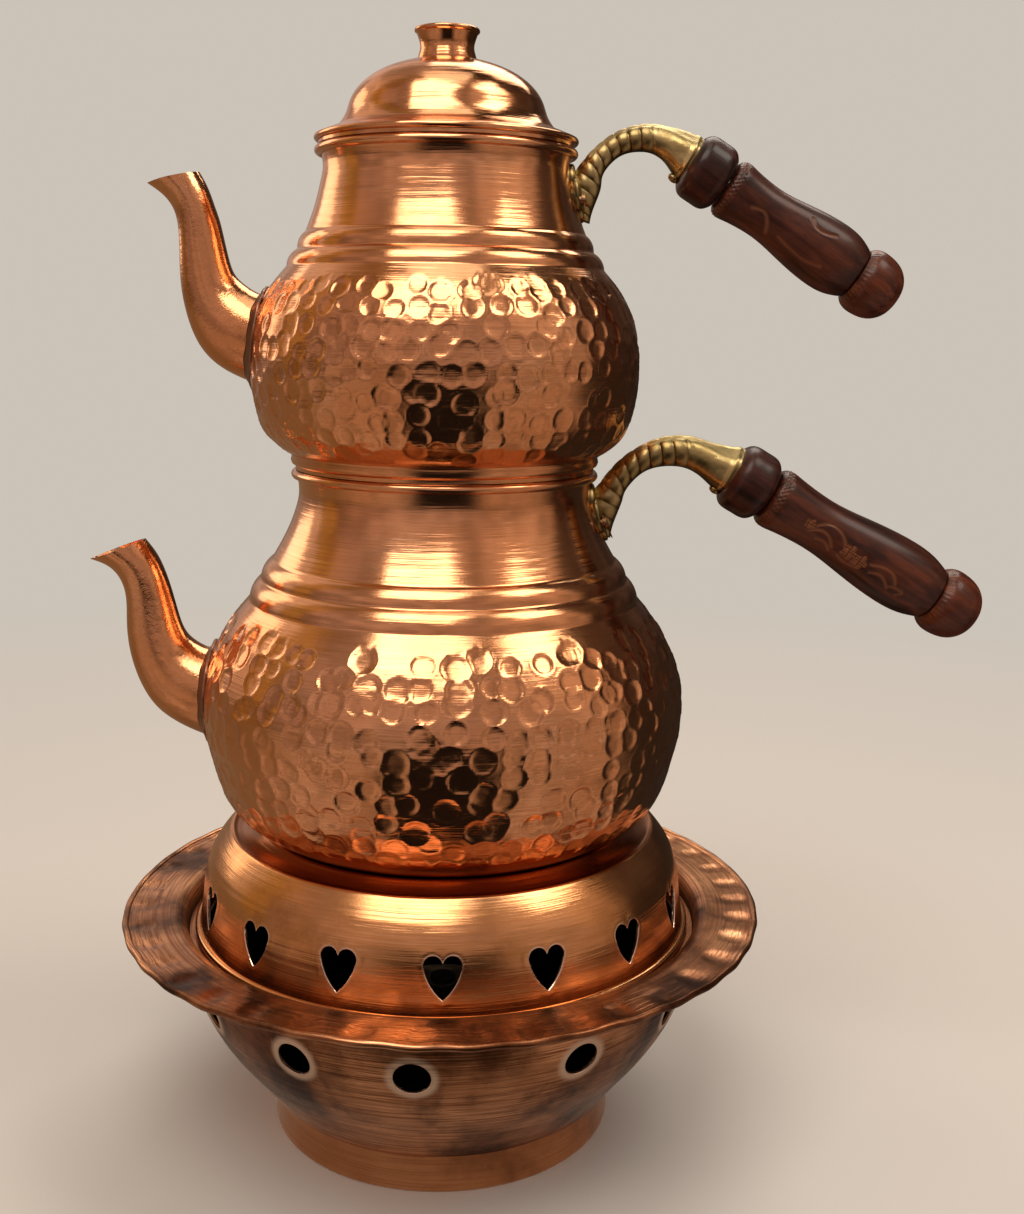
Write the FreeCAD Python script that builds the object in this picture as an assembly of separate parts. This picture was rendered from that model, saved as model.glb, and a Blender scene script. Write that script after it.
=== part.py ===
"""Double copper teapot standing on a pierced brazier with a fluted rim.

Millimetres, +Z up. The origin is on the set's axis, in the plane the foot ring stands on.
The spouts point along -X and the handles along +X; the front of the set faces -Y.
"""
import FreeCAD, Part
import math
import os

Vector = FreeCAD.Vector
UP = Vector(0, 0, 1)
ORIGIN = Vector(0, 0, 0)

# Stock and clearances
SHEET = 1.2          # beaten copper sheet
GAP = 0.3            # between pieces that lift off each other
RIM_BEAD = 1.6       # radius of the rolled pot rims
ROD_R = 2.5          # steel rod through each wooden handle
RIVET_R = 1.4
RIVET_HEAD_R = 2.2
RIVET_HEAD = 1.0
RIVET_SIDE = 7.2     # from the middle of a leaf plate to each rivet
RIVET_DROP = 3.2     # from the middle of a leaf plate down to the rivets
PLATE = 2.6          # thickness of the brackets' leaf plates
ARM_ROOT_WIDTH = 8.0  # the arm is narrow where it runs between the rivets

# Foot ring and brazier bowl
FOOT_R = 65.5
FOOT_TOP_R = 64.6
FOOT_WALL = 2.0
FOOT_H = 14.5
BOWL_MOUTH_R = 98.0
BOWL_MOUTH_Z = 81.0
RIM_R = 121.0
RIM_EDGE_BEAD = 1.3
RIM_Z = 86.0
FLUTES = 40
FLUTE_R = 9.0
FLUTE_DEPTH = 0.6
FLUTE_START_R = 108.0
VENT_R = 6.4
VENT_Z = 61.0
FRONT_VENTS = [-60.0, -31.5, -6.0, 29.5, 60.0]    # set out by eye
OTHER_VENTS = [90.0 + 30.0 * i for i in range(7)]

# Seat ring in the bowl's mouth, and the cover that stands on it
SEAT_TOP = 79.0
SEAT_H = 1.5
SEAT_INNER_R = 90.5
SEAT_CLEARANCE = 0.3
COVER_BEAD = 1.4
COVER_FOOT_R = 93.0
COVER_TOP = 119.5
COVER_HOLE_R = 57.0
HEARTS = 16
HEART_W = 12.4
HEART_H = 14.8
HEART_Z = 94.5

# Spirit burner in the middle of the bowl
BURNER_R = 27.0
BURNER_H = 26.0
WICK_R = 4.8
WICK_TUBE_R = 6.0
WICK_TUBE_H = 7.0

# Outlines of the sheet pieces, outer face, (radius, height), from the bottom up.
# Each list is one stretch: two points a line, three an arc, more a smooth curve.
BOWL = [
    [(0, FOOT_H), (64.5, FOOT_H)],
    [(64.5, FOOT_H), (66.7, 15.0), (68.3, 16.6)],
    [(68.3, 16.6), (76.2, 27.5), (85.3, 39.5), (91.9, 51.5), (96.0, 63.0), (97.8, 74.0)],
    [(97.8, 74.0), (BOWL_MOUTH_R, BOWL_MOUTH_Z)],
    [(BOWL_MOUTH_R, BOWL_MOUTH_Z), (99.2, 83.7), (102.0, 84.8)],
    [(102.0, 84.8), (RIM_R - RIM_EDGE_BEAD, 85.4)],
]
COVER = [
    [(COVER_FOOT_R, 80.7), (92.3, 84.0), (91.2, 91.0)],
    [(91.2, 91.0), (90.3, 98.5), (88.6, 105.5), (85.2, 111.8), (80.6, 117.4)],
    [(80.6, 117.4), (79.4, 118.0), (78.4, 117.4)],
    [(78.4, 117.4), (73.5, 117.3), (69.0, COVER_TOP)],
    [(69.0, COVER_TOP), (COVER_HOLE_R + SHEET, COVER_TOP)],
    [(COVER_HOLE_R + SHEET, COVER_TOP), (COVER_HOLE_R, 115.0)],
]
LID = [
    [(45.2, 367.4), (41.8, 368.9), (38.2, 370.2)],
    [(38.2, 370.2), (35.3, 374.5), (33.7, 379.0), (29.6, 384.7), (22.4, 389.4), (10.6, 393.2)],
    [(10.6, 393.2), (0, 393.2)],
]
LOWER_POT = {
    "name": "lower",
    "outline": [
        [(67.5, 119.8), (79.5, 128.8), (86.0, 144.5), (89.2, 160.5), (89.2, 170.0),
         (86.0, 182.8), (79.4, 195.2), (71.6, 204.9)],
        [(71.6, 204.9), (70.4, 208.9), (67.3, 212.3)],
        [(67.3, 212.3), (66.2, 216.0), (63.1, 219.1)],
        [(63.1, 219.1), (58.4, 228.5), (54.2, 237.5), (53.1, 243.5), (53.7, 249.4)],
    ],
    "rim": (54.2, 250.0),
    "spout_outer": [(-62, 145), (-90.7, 151.5), (-101.0, 156.6), (-108.1, 162.6), (-115.1, 176.8),
                    (-117.4, 194.7), (-118.1, 207.0), (-122.5, 213.8), (-130.0, 217.2)],
    "spout_inner": [(-58, 184), (-85.0, 183.2), (-90.4, 185.0), (-94.2, 187.8), (-97.6, 193.5),
                    (-100.6, 205.1), (-103.2, 213.5), (-105.8, 219.3), (-109.7, 224.8)],
    "spout_width": [31, 30, 27, 23.5, 20, 17, 16, 15.5, 15],
    "spout_holes": [(0, 166)],
    "spout_hole_r": 9.0,
    "arm_outer": [(52.0, 238.5), (56.2, 245.0), (60.9, 251.2), (66.1, 256.4), (72.0, 260.3), (78.3, 263.0),
                  (84.6, 264.1), (92.1, 263.4), (99.3, 260.9)],
    "arm_inner": [(62.5, 232.5), (65.4, 240.0), (66.4, 243.6), (69.6, 248.0), (74.2, 251.5), (80.0, 253.1),
                  (86.0, 253.1), (91.5, 251.3), (96.6, 247.8)],
    "plate_z": 236.6,
    "plate_scale": 1.06,
    "wood_start": (105.7, 251.5),
    "wood_slope": 30.2,
    "socket_r": 8.4,
    "wood_scale": 1.0,
    "grip_length": 73.7,
}
UPPER_POT = {
    "name": "upper",
    "outline": [
        [(54.4, 253.2), (55.9, 255.0), (55.2, 256.9)],
        [(55.2, 256.9), (60.5, 260.4), (65.3, 265.8), (69.0, 278.5), (69.7, 291.5), (67.6, 304.4),
         (62.9, 314.6), (56.3, 322.8)],
        [(56.3, 322.8), (55.3, 326.1), (52.4, 328.7)],
        [(52.4, 328.7), (51.9, 331.9), (49.6, 334.7)],
        [(49.6, 334.7), (46.8, 343.5), (44.0, 352.3), (43.2, 357.4), (44.0, 361.8)],
    ],
    "rim": (44.6, 362.2),
    "spout_outer": [(-46, 277), (-68.9, 281.9), (-80.8, 287.6), (-87.8, 295.0), (-92.7, 308.6),
                    (-94.0, 325.0), (-94.9, 339.7), (-98.8, 346.2), (-104.5, 350.4)],
    "spout_inner": [(-42, 313), (-64.0, 312.7), (-69.5, 314.9), (-73.6, 318.1), (-76.6, 324.2),
                    (-79.3, 336.5), (-81.4, 343.3), (-83.7, 349.6), (-86.3, 354.4)],
    "spout_width": [31, 29.5, 26, 22, 18.5, 16, 15.5, 15, 14.5],
    "spout_holes": [(0, 298)] + [(8 * math.cos(math.pi * i / 3), 298 + 8 * math.sin(math.pi * i / 3))
                                 for i in range(6)],
    "spout_hole_r": 2.5,
    "arm_outer": [(42.0, 351.5), (46.2, 357.5), (50.2, 362.6), (54.2, 366.4), (59.0, 369.8), (65.0, 372.2),
                  (71.5, 373.1), (77.2, 372.4), (83.3, 370.6)],
    "arm_inner": [(52.0, 344.8), (54.6, 351.5), (55.2, 355.8), (58.0, 359.9), (61.9, 362.8), (66.6, 364.0),
                  (71.9, 363.7), (76.0, 361.6), (79.4, 358.2)],
    "plate_z": 350.0,
    "plate_scale": 1.0,
    "wood_start": (86.1, 361.3),
    "wood_slope": 31.75,
    "socket_r": 7.6,
    "wood_scale": 0.93,
    "grip_length": 56.3,
}
UPPER_SOCKET_R = 51.1        # the upper pot's pan, where it drops into the lower pot's mouth
UPPER_SOCKET_BOTTOM = 243.5
UPPER_PAN_FLANGE_R = 54.2

# Lid collar, knob and its screw
COLLAR_R = 41.2
COLLAR_WALL = 1.0
COLLAR_BOTTOM = 353.0
BRIM_BEAD = 1.1
BRIM_R = 45.2
BRIM_Z = 366.4
KNOB_BASE_Z = 393.2
KNOB = [
    [(10.4, KNOB_BASE_Z), (9.9, 395.0), (9.4, 397.2), (9.9, 399.9), (10.7, 402.0)],
    [(10.7, 402.0), (11.4, 402.8), (10.7, 403.6)],
    [(10.7, 403.6), (7.6, 402.9), (4.0, 402.7)],
    [(4.0, 402.7), (0, 402.7)],
]
SCREW_R = 2.0
SCREW_LENGTH = 6.0

# Wooden handle turnings at full size: distance along the rod and radius
BARREL_LENGTH = 15.6
BARREL = [(0, 10.2), (2.2, 12.2), (7.8, 12.9), (13.4, 12.2), (15.6, 10.2)]
GRIP = [(0, 9.6), (0.035, 11.4), (0.09, 11.4), (0.20, 10.5), (0.33, 10.2), (0.52, 11.6),
        (0.76, 13.2), (0.92, 12.3), (1.0, 10.4)]
KNOB_END = [(0, 10.6), (2.6, 12.3), (8.0, 12.9), (14.0, 11.2), (18.2, 6.6), (19.4, 0)]
WOOD_GAP = 0.7
ROD_IN_SOCKET = 9.0
ROD_IN_KNOB = 10.0


def at(radius, height):
    return Vector(radius, 0, height)


def edge(points):
    """A line through two points, an arc through three, a smooth curve through more."""
    if len(points) == 2:
        return Part.makeLine(points[0], points[1])
    if len(points) == 3:
        return Part.Arc(points[0], points[1], points[2]).toShape()
    curve = Part.BSplineCurve()
    curve.interpolate(points)
    return curve.toShape()


def revolve(stretches):
    """The solid that a closed outline in the XZ plane sweeps about the Z axis."""
    edges = [edge([at(r, z) for r, z in stretch]) for stretch in stretches]
    return Part.Face(Part.Wire(edges)).revolve(ORIGIN, UP, 360)


def chain(stretches):
    """All points of joined stretches, each shared point once."""
    return [p for i, s in enumerate(stretches) for p in (s if i == 0 else s[1:])]


def inset(points, depth):
    """The chain of points moved to its left-hand side, mitred where it turns."""
    moved = []
    for i, (r, z) in enumerate(points):
        normals = []
        for a, b in ((i - 1, i), (i, i + 1)):
            if 0 <= a and b < len(points):
                dr = points[b][0] - points[a][0]
                dz = points[b][1] - points[a][1]
                length = math.hypot(dr, dz)
                normals.append((-dz / length, dr / length))
        n_r = sum(n[0] for n in normals)
        n_z = sum(n[1] for n in normals)
        reach = depth * len(normals) / (n_r * n_r + n_z * n_z)
        moved.append((r + n_r * reach, z + n_z * reach))
    return moved


def other_side(stretches, depth):
    """The inner face of a sheet: the same stretches, depth further in, in the same order."""
    moved = inset(chain(stretches), depth)
    result = []
    start = 0
    for stretch in stretches:
        result.append(moved[start:start + len(stretch)])
        start += len(stretch) - 1
    return result


def backwards(stretches):
    return [stretch[::-1] for stretch in stretches[::-1]]


def sheet(stretches, depth=SHEET):
    """A turned sheet with the given outer face."""
    inner = other_side(stretches, depth)
    end = [stretches[-1][-1], inner[-1][-1]]
    start = [inner[0][0], stretches[0][0]]
    return revolve(stretches + [end] + backwards(inner) + [start])


def filled(stretches):
    """The solid body inside a pot's outer face."""
    top = [stretches[-1][-1], (0, stretches[-1][-1][1])]
    bottom = [(0, stretches[0][0][1]), stretches[0][0]]
    return revolve(stretches + [top, [top[1], bottom[0]], bottom])


def ring(radius, height, bead):
    return Part.makeTorus(radius, bead, at(0, height), UP)


def tube_wall(outer_r, inner_r, low, high):
    return revolve([
        [(inner_r, low), (outer_r, low)],
        [(outer_r, low), (outer_r, high)],
        [(outer_r, high), (inner_r, high)],
        [(inner_r, high), (inner_r, low)],
    ])


def around(shape, angles):
    """Copies of a shape made for the +X side, turned to face each angle from the front."""
    copies = []
    for angle in angles:
        copy = shape.copy()
        copy.rotate(ORIGIN, UP, angle - 90)
        copies.append(copy)
    return Part.makeCompound(copies)


# ---- brazier ----

def foot_ring():
    return revolve([
        [(FOOT_R - FOOT_WALL, 0), (FOOT_R, 0)],
        [(FOOT_R, 0), (FOOT_TOP_R, FOOT_H)],
        [(FOOT_TOP_R, FOOT_H), (FOOT_R - FOOT_WALL, FOOT_H)],
        [(FOOT_R - FOOT_WALL, FOOT_H), (FOOT_R - FOOT_WALL, 0)],
    ])


def flutes():
    """Radial grooves pressed into the top of the rim."""
    groove = Part.makeCylinder(FLUTE_R, RIM_R - FLUTE_START_R - RIM_EDGE_BEAD,
                               Vector(FLUTE_START_R, 0, RIM_Z + 0.6 + FLUTE_R - FLUTE_DEPTH), Vector(1, 0, 0))
    return around(groove, [360.0 * i / FLUTES for i in range(FLUTES)])


def brazier_bowl():
    vent = Part.makeCylinder(VENT_R, 30, Vector(80, 0, VENT_Z), Vector(1, 0, 0))
    vents = around(vent, FRONT_VENTS + OTHER_VENTS)
    bowl = sheet(BOWL).fuse(ring(RIM_R - RIM_EDGE_BEAD, RIM_Z, RIM_EDGE_BEAD))
    return bowl.cut(flutes()).cut(vents)


def cover_seat_ring():
    bowl_inside = BOWL_MOUTH_R - SHEET
    return tube_wall(bowl_inside - SEAT_CLEARANCE, SEAT_INNER_R, SEAT_TOP - SEAT_H, SEAT_TOP)


def heart():
    """A heart-shaped punch standing across the +X side."""
    half = HEART_W / 2
    top = HEART_Z + HEART_H / 2
    tip = HEART_Z - HEART_H / 2
    notch = top - HEART_H * 0.18
    shoulder = top - HEART_H * 0.32
    right = [Vector(0, 0, notch), Vector(0, half * 0.5, top), Vector(0, half, shoulder)]
    side = [Vector(0, half, shoulder), Vector(0, half * 0.72, HEART_Z - HEART_H * 0.13), Vector(0, 0, tip)]
    mirrored = [[Vector(0, -p.y, p.z) for p in points[::-1]] for points in (side, right)]
    outline = Part.Wire([edge(points) for points in [right, side] + mirrored])
    punch = Part.Face(outline).extrude(Vector(40, 0, 0))
    punch.translate(Vector(COVER_HOLE_R + 10, 0, 0))
    return punch


def warmer_cover():
    hearts = around(heart(), [360.0 * i / HEARTS for i in range(HEARTS)])
    bead = ring(COVER_FOOT_R, SEAT_TOP + GAP + COVER_BEAD, COVER_BEAD)
    return sheet(COVER).fuse(bead).cut(hearts)


# ---- spirit burner ----

def burner_cup():
    low = FOOT_H + SHEET + GAP
    return sheet([[(0, low), (BURNER_R, low)], [(BURNER_R, low), (BURNER_R, low + BURNER_H)]], 1.0)


def burner_top():
    low = FOOT_H + SHEET + GAP + BURNER_H
    plate = tube_wall(BURNER_R + 0.6, WICK_R + 0.1, low, low + 1.2)
    return plate.fuse(tube_wall(WICK_TUBE_R, WICK_R + 0.1, low + 1.2, low + WICK_TUBE_H))


def burner_wick():
    low = FOOT_H + SHEET + GAP + 4
    high = FOOT_H + SHEET + GAP + BURNER_H + WICK_TUBE_H + 3
    return Part.makeCylinder(WICK_R, high - low, at(0, low), UP)


# ---- spouts ----

def loop(outer, inner, width):
    """An ellipse through two points in the XZ plane, with the given width across Y."""
    middle = Vector((outer[0] + inner[0]) / 2, 0, (outer[1] + inner[1]) / 2)
    half = Vector((outer[0] - inner[0]) / 2, 0, (outer[1] - inner[1]) / 2)
    stretch = FreeCAD.Matrix(half.x, 0, 0, middle.x,
                             0, width / 2, 0, 0,
                             half.z, 0, 1, middle.z,
                             0, 0, 0, 1)
    circle = Part.makeCircle(1.0)
    return Part.Wire(circle.transformGeometry(stretch))


def tube(outer, inner, widths, wall=0.0):
    """A smooth solid through loops set between two edge lines, made smaller all round by wall."""
    loops = []
    for (x0, z0), (x1, z1), width in zip(outer, inner, widths):
        length = math.hypot(x1 - x0, z1 - z0)
        dx = (x1 - x0) / length * wall
        dz = (z1 - z0) / length * wall
        loops.append(loop((x0 + dx, z0 + dz), (x1 - dx, z1 - dz), width - 2 * wall))
    return Part.makeLoft(loops, True, False)


def spout(pot):
    edges = pot["spout_outer"], pot["spout_inner"], pot["spout_width"]
    return tube(*edges).cut(tube(*edges, wall=SHEET)).cut(filled(pot["outline"]))


# ---- pot bodies ----

def rivets_of(pot, radius):
    """Cylinders through the neck wall where the bracket's two rivets go."""
    size = pot["plate_scale"]
    height = pot["plate_z"] - RIVET_DROP * size
    return [Part.makeCylinder(radius, 30, Vector(36, side * RIVET_SIDE * size, height), Vector(1, 0, 0))
            for side in (-1, 1)]


def pot_body(pot):
    radius, height = pot["rim"]
    body = sheet(pot["outline"]).fuse(ring(radius, height, RIM_BEAD))
    holes = [Part.makeCylinder(pot["spout_hole_r"], 60, Vector(-100, y, z), Vector(1, 0, 0))
             for y, z in pot["spout_holes"]]
    return body.cut(Part.makeCompound(holes + rivets_of(pot, RIVET_R)))


def lower_pot_base():
    """A flat disc let into the bottom edge of the body."""
    outer = LOWER_POT["outline"][0][0]
    inner = other_side(LOWER_POT["outline"], SHEET)[0][0]
    return revolve([
        [(0, outer[1]), outer],
        [outer, inner],
        [inner, (0, inner[1])],
        [(0, inner[1]), (0, outer[1])],
    ])


def upper_pot_base():
    """A pan that closes the upper pot and drops into the lower pot's mouth."""
    low = UPPER_SOCKET_BOTTOM
    rest = LOWER_POT["rim"][1] + RIM_BEAD + GAP
    pan = sheet([
        [(0, low), (UPPER_SOCKET_R - 3, low)],
        [(UPPER_SOCKET_R - 3, low), (UPPER_SOCKET_R - 0.9, low + 0.9), (UPPER_SOCKET_R, low + 3)],
        [(UPPER_SOCKET_R, low + 3), (UPPER_SOCKET_R, rest)],
    ])
    flange_top = UPPER_POT["outline"][0][0][1]
    return pan.fuse(tube_wall(UPPER_PAN_FLANGE_R, UPPER_SOCKET_R - SHEET, rest, flange_top))


# ---- handles ----

def leaf_outline(pot):
    """A palmette: rounded top, a lobe on each side and one that hangs down."""
    size = pot["plate_scale"]
    half = [
        [(0, 9.6), (5.0, 7.6), (7.2, 2.0)],
        [(7.2, 2.0), (9.8, -3.5), (7.4, -7.0)],
        [(7.4, -7.0), (4.4, -5.6)],
        [(4.4, -5.6), (3.2, -9.2), (0, -10.6)],
    ]
    right = [[Vector(0, y * size, pot["plate_z"] + z * size) for y, z in points] for points in half]
    left = [[Vector(0, -p.y, p.z) for p in points] for points in backwards(right)]
    return Part.Wire([edge(points) for points in right + left])


def leaf_plate(pot):
    """The palmette cut out of a jacket that lies on the neck."""
    jacket = sheet(other_side([pot["outline"][-1]], -PLATE), PLATE)
    return jacket.common(Part.Face(leaf_outline(pot)).extrude(Vector(90, 0, 0)))


def wood_axis(pot):
    slope = math.radians(pot["wood_slope"])
    x, z = pot["wood_start"]
    return Vector(x, 0, z), Vector(math.cos(slope), 0, -math.sin(slope))


def rod_end(pot):
    size = pot["wood_scale"]
    return BARREL_LENGTH * size + pot["grip_length"] + 2 * WOOD_GAP + ROD_IN_KNOB * size


def rod(pot, radius=ROD_R):
    start, along = wood_axis(pot)
    return Part.makeCylinder(radius, ROD_IN_SOCKET + rod_end(pot), start - along * ROD_IN_SOCKET, along)


def bracket(pot):
    start, along = wood_axis(pot)
    across = Vector(-along.z, 0, along.x)
    top = start + across * pot["socket_r"]
    low = start - across * pot["socket_r"]
    outer = pot["arm_outer"] + [(top.x, top.z)]
    inner = pot["arm_inner"] + [(low.x, low.z)]
    widths = [math.hypot(a[0] - b[0], a[1] - b[1]) for a, b in zip(outer, inner)]
    widths[:2] = [ARM_ROOT_WIDTH] * 2
    arm = tube(outer, inner, widths).cut(filled(pot["outline"]))
    plate = leaf_plate(pot)
    holes = Part.makeCompound(rivets_of(pot, RIVET_R))
    return arm.fuse(plate).cut(holes).cut(rod(pot))


def rivets(pot):
    """Two rivets: a shank each through plate and wall, with a head outside and one inside."""
    neck = pot["outline"][-1]
    inside = filled([other_side([neck], SHEET)[0]])
    outside = filled([other_side([neck], -PLATE)[0]])
    within = filled([other_side([neck], SHEET + RIVET_HEAD)[0]])
    beyond = filled([other_side([neck], -PLATE - RIVET_HEAD)[0]])
    pieces = []
    for shank, head in zip(rivets_of(pot, RIVET_R), rivets_of(pot, RIVET_HEAD_R)):
        whole = shank.common(beyond).cut(within)
        inner_head = head.common(inside).cut(within)
        outer_head = head.common(beyond).cut(outside)
        pieces.append(whole.fuse(inner_head).fuse(outer_head))
    return Part.makeCompound(pieces)


def turning(pot, outline, start, stretch=1.0, size=1.0, bore=True):
    """A wooden piece turned about the rod: an outline of distances along it and radii."""
    origin, along = wood_axis(pot)
    points = [Vector(d * stretch, 0, r * size) for d, r in outline]
    length = points[-1].x
    axis_start = Vector(0, 0, 0)
    axis_end = Vector(length, 0, 0)
    edges = [Part.makeLine(axis_start, points[0]), edge(points)]
    if points[-1].z > 0:
        edges.append(Part.makeLine(points[-1], axis_end))
    edges.append(Part.makeLine(axis_end, axis_start))
    piece = Part.Face(Part.Wire(edges)).revolve(ORIGIN, Vector(1, 0, 0), 360)
    piece.rotate(ORIGIN, Vector(0, 1, 0), pot["wood_slope"])
    piece.translate(origin + along * start)
    return piece.cut(rod(pot))


def barrel(pot):
    size = pot["wood_scale"]
    return turning(pot, BARREL, 0, size, size)


def grip(pot):
    size = pot["wood_scale"]
    return turning(pot, GRIP, BARREL_LENGTH * size + WOOD_GAP, pot["grip_length"], size)


def end_knob(pot):
    size = pot["wood_scale"]
    return turning(pot, KNOB_END, BARREL_LENGTH * size + pot["grip_length"] + 2 * WOOD_GAP, size, size)


# ---- lid ----

def lid_dome():
    dome = sheet(LID).fuse(ring(BRIM_R, BRIM_Z, BRIM_BEAD))
    return dome.cut(Part.makeCylinder(SCREW_R, 10, at(0, KNOB_BASE_Z - 5), UP))


def lid_collar():
    """A band that drops into the neck, with a flange that lies on the rim."""
    rest = UPPER_POT["rim"][1] + RIM_BEAD + GAP
    flange_top = BRIM_Z - BRIM_BEAD
    band = tube_wall(COLLAR_R, COLLAR_R - COLLAR_WALL, COLLAR_BOTTOM, rest)
    return band.fuse(tube_wall(BRIM_R - 0.4, COLLAR_R - COLLAR_WALL, rest, flange_top))


def lid_knob():
    knob_top = KNOB[-1][-1]
    body = revolve(KNOB + [[knob_top, (0, KNOB_BASE_Z)], [(0, KNOB_BASE_Z), KNOB[0][0]]])
    return body.cut(Part.makeCylinder(SCREW_R, SCREW_LENGTH, at(0, KNOB_BASE_Z), UP))


def lid_screw():
    head_top = KNOB_BASE_Z - SHEET
    head = Part.makeCylinder(4.0, 1.5, at(0, head_top - 1.5), UP)
    return head.fuse(Part.makeCylinder(SCREW_R, SHEET + SCREW_LENGTH, at(0, head_top), UP))


def nodes():
    made = {
        "foot_ring": foot_ring(),
        "brazier_bowl": brazier_bowl(),
        "cover_seat_ring": cover_seat_ring(),
        "warmer_cover": warmer_cover(),
        "burner_cup": burner_cup(),
        "burner_top": burner_top(),
        "burner_wick": burner_wick(),
        "lower_pot_base": lower_pot_base(),
        "upper_pot_base": upper_pot_base(),
        "lid_dome": lid_dome(),
        "lid_collar": lid_collar(),
        "lid_knob": lid_knob(),
        "lid_screw": lid_screw(),
    }
    for pot in (LOWER_POT, UPPER_POT):
        name = pot["name"]
        made[name + "_pot_body"] = pot_body(pot)
        made[name + "_spout"] = spout(pot)
        made[name + "_handle_bracket"] = bracket(pot)
        made[name + "_handle_rivets"] = rivets(pot)
        made[name + "_handle_rod"] = rod(pot)
        made[name + "_handle_barrel"] = barrel(pot)
        made[name + "_handle_grip"] = grip(pot)
        made[name + "_handle_knob"] = end_knob(pot)
    return made


os.makedirs("parts", exist_ok=True)
for name, shape in nodes().items():
    shape.exportStep("parts/" + name + ".step")
    box = shape.BoundBox
    print(name, "solids", len(shape.Solids), "valid", shape.isValid(), "cm3 %.2f" % (shape.Volume / 1000),
          "x %.1f..%.1f y %.1f..%.1f z %.1f..%.1f" % (box.XMin, box.XMax, box.YMin, box.YMax, box.ZMin, box.ZMax))
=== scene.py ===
"""Looks of a double copper teapot that stands on a pierced brazier with a fluted rim.

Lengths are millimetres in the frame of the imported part, +Z up, and every mesh is made in metres.
The spouts point along -X, the handles along +X, and the front of the set faces -Y.
"""

import math

import bmesh
import bpy
import numpy as np
from mathutils import Matrix, Vector

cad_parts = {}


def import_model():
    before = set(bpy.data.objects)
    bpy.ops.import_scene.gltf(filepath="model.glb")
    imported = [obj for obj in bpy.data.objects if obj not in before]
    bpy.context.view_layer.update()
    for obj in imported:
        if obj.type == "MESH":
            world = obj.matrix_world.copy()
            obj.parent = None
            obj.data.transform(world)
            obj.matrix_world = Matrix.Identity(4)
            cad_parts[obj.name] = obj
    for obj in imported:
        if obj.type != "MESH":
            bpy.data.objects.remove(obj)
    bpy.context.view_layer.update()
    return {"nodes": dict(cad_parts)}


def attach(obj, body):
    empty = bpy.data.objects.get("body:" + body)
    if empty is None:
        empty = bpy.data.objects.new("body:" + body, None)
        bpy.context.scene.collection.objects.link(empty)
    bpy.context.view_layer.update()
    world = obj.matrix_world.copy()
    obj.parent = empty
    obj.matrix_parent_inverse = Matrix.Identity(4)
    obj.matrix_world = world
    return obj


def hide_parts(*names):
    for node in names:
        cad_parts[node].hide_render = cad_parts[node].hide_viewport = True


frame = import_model()

MM = 0.001
TURN = 2 * math.pi
AXIS = 0.05              # a ring with a smaller radius is one point on the axis
FLAT = np.array([1, 1, 0])  # leaves out a point's height
SHARP = math.radians(38)  # faces that meet at a larger angle show an edge
SHEET = 1.2              # beaten copper sheet
RIM_BEAD = 1.6           # radius of the rolled pot rims
PLATE = 2.6              # thickness of the brackets' leaf plates
ARM_ROOT_WIDTH = 8.6     # of a bracket's arm, where it leaves the neck
ARM_RIBS = 11.5          # ribs along an arm
BEVEL = 0.22             # on the edges of the pierced holes
HALO = 3.6               # how far the "hollow" value reaches out round a pierced hole
SOOT = -1.0              # value of "hollow" on the smoked inner faces of the warmer
SMOKED_WITHIN = (95.0, 99.5)  # radii between which the smoked faces end
MARKED_SPACING = 0.74    # between rows of points where a pot is hammered, then on its rolls and elsewhere
ROLL_SPACING = 0.55
PLAIN_SPACING = 1.3
MARK_MISSED = 0.07       # share of the places in a row that the hammer left out
MARK_TWICE = 0.16        # share that it struck twice
LIP_HEIGHT = 0.13        # of the lip that a mark pushes up round it
LIP_WIDTH = 0.42
LIP_REACH = 1.2          # how far past a mark's edge its lip is worked out
MARK_SHADE_DEPTH = 0.45        # depth at which the painted shade in a hammer mark is darkest
PATCH_CELLS = 20         # along each side of the square patch round a pierced hole

# Outlines of the outer faces, (radius, height), from the bottom up.
# Each list is one stretch: two points a line, three an arc, more a smooth curve.
FOOT = [
    [(63.5, 14.4), (63.5, 0.8)],
    [(63.5, 0.8), (63.8, 0.2), (64.4, 0)],
    [(64.4, 0), (65.2, 0.3), (65.5, 1.0)],
    [(65.5, 1.0), (64.9, 6.5), (64.6, 14.4)],
]
BOWL = [
    [(0, 14.5), (64.5, 14.5)],
    [(64.5, 14.5), (66.7, 15.0), (68.3, 16.6)],
    [(68.3, 16.6), (76.2, 27.5), (85.3, 39.5), (91.9, 51.5), (96.0, 63.0), (97.8, 74.0)],
    [(97.8, 74.0), (98.0, 81.0)],
    [(98.0, 81.0), (99.2, 83.7), (102.0, 84.8)],
    [(102.0, 84.8), (119.7, 85.4)],
]
RIM_BEAD_R = 119.6       # the rolled edge of the bowl's rim
RIM_BEAD_Z = 86.0
RIM_BEAD_SIZE = 1.3
FLUTES = 40
FLUTE_FROM = 107.5
FLUTE_TO = 118.4
VENT_R = 6.4
VENT_Z = 61.0
VENT_PATCH = 10.6        # half the side of the square patch round a vent
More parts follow.
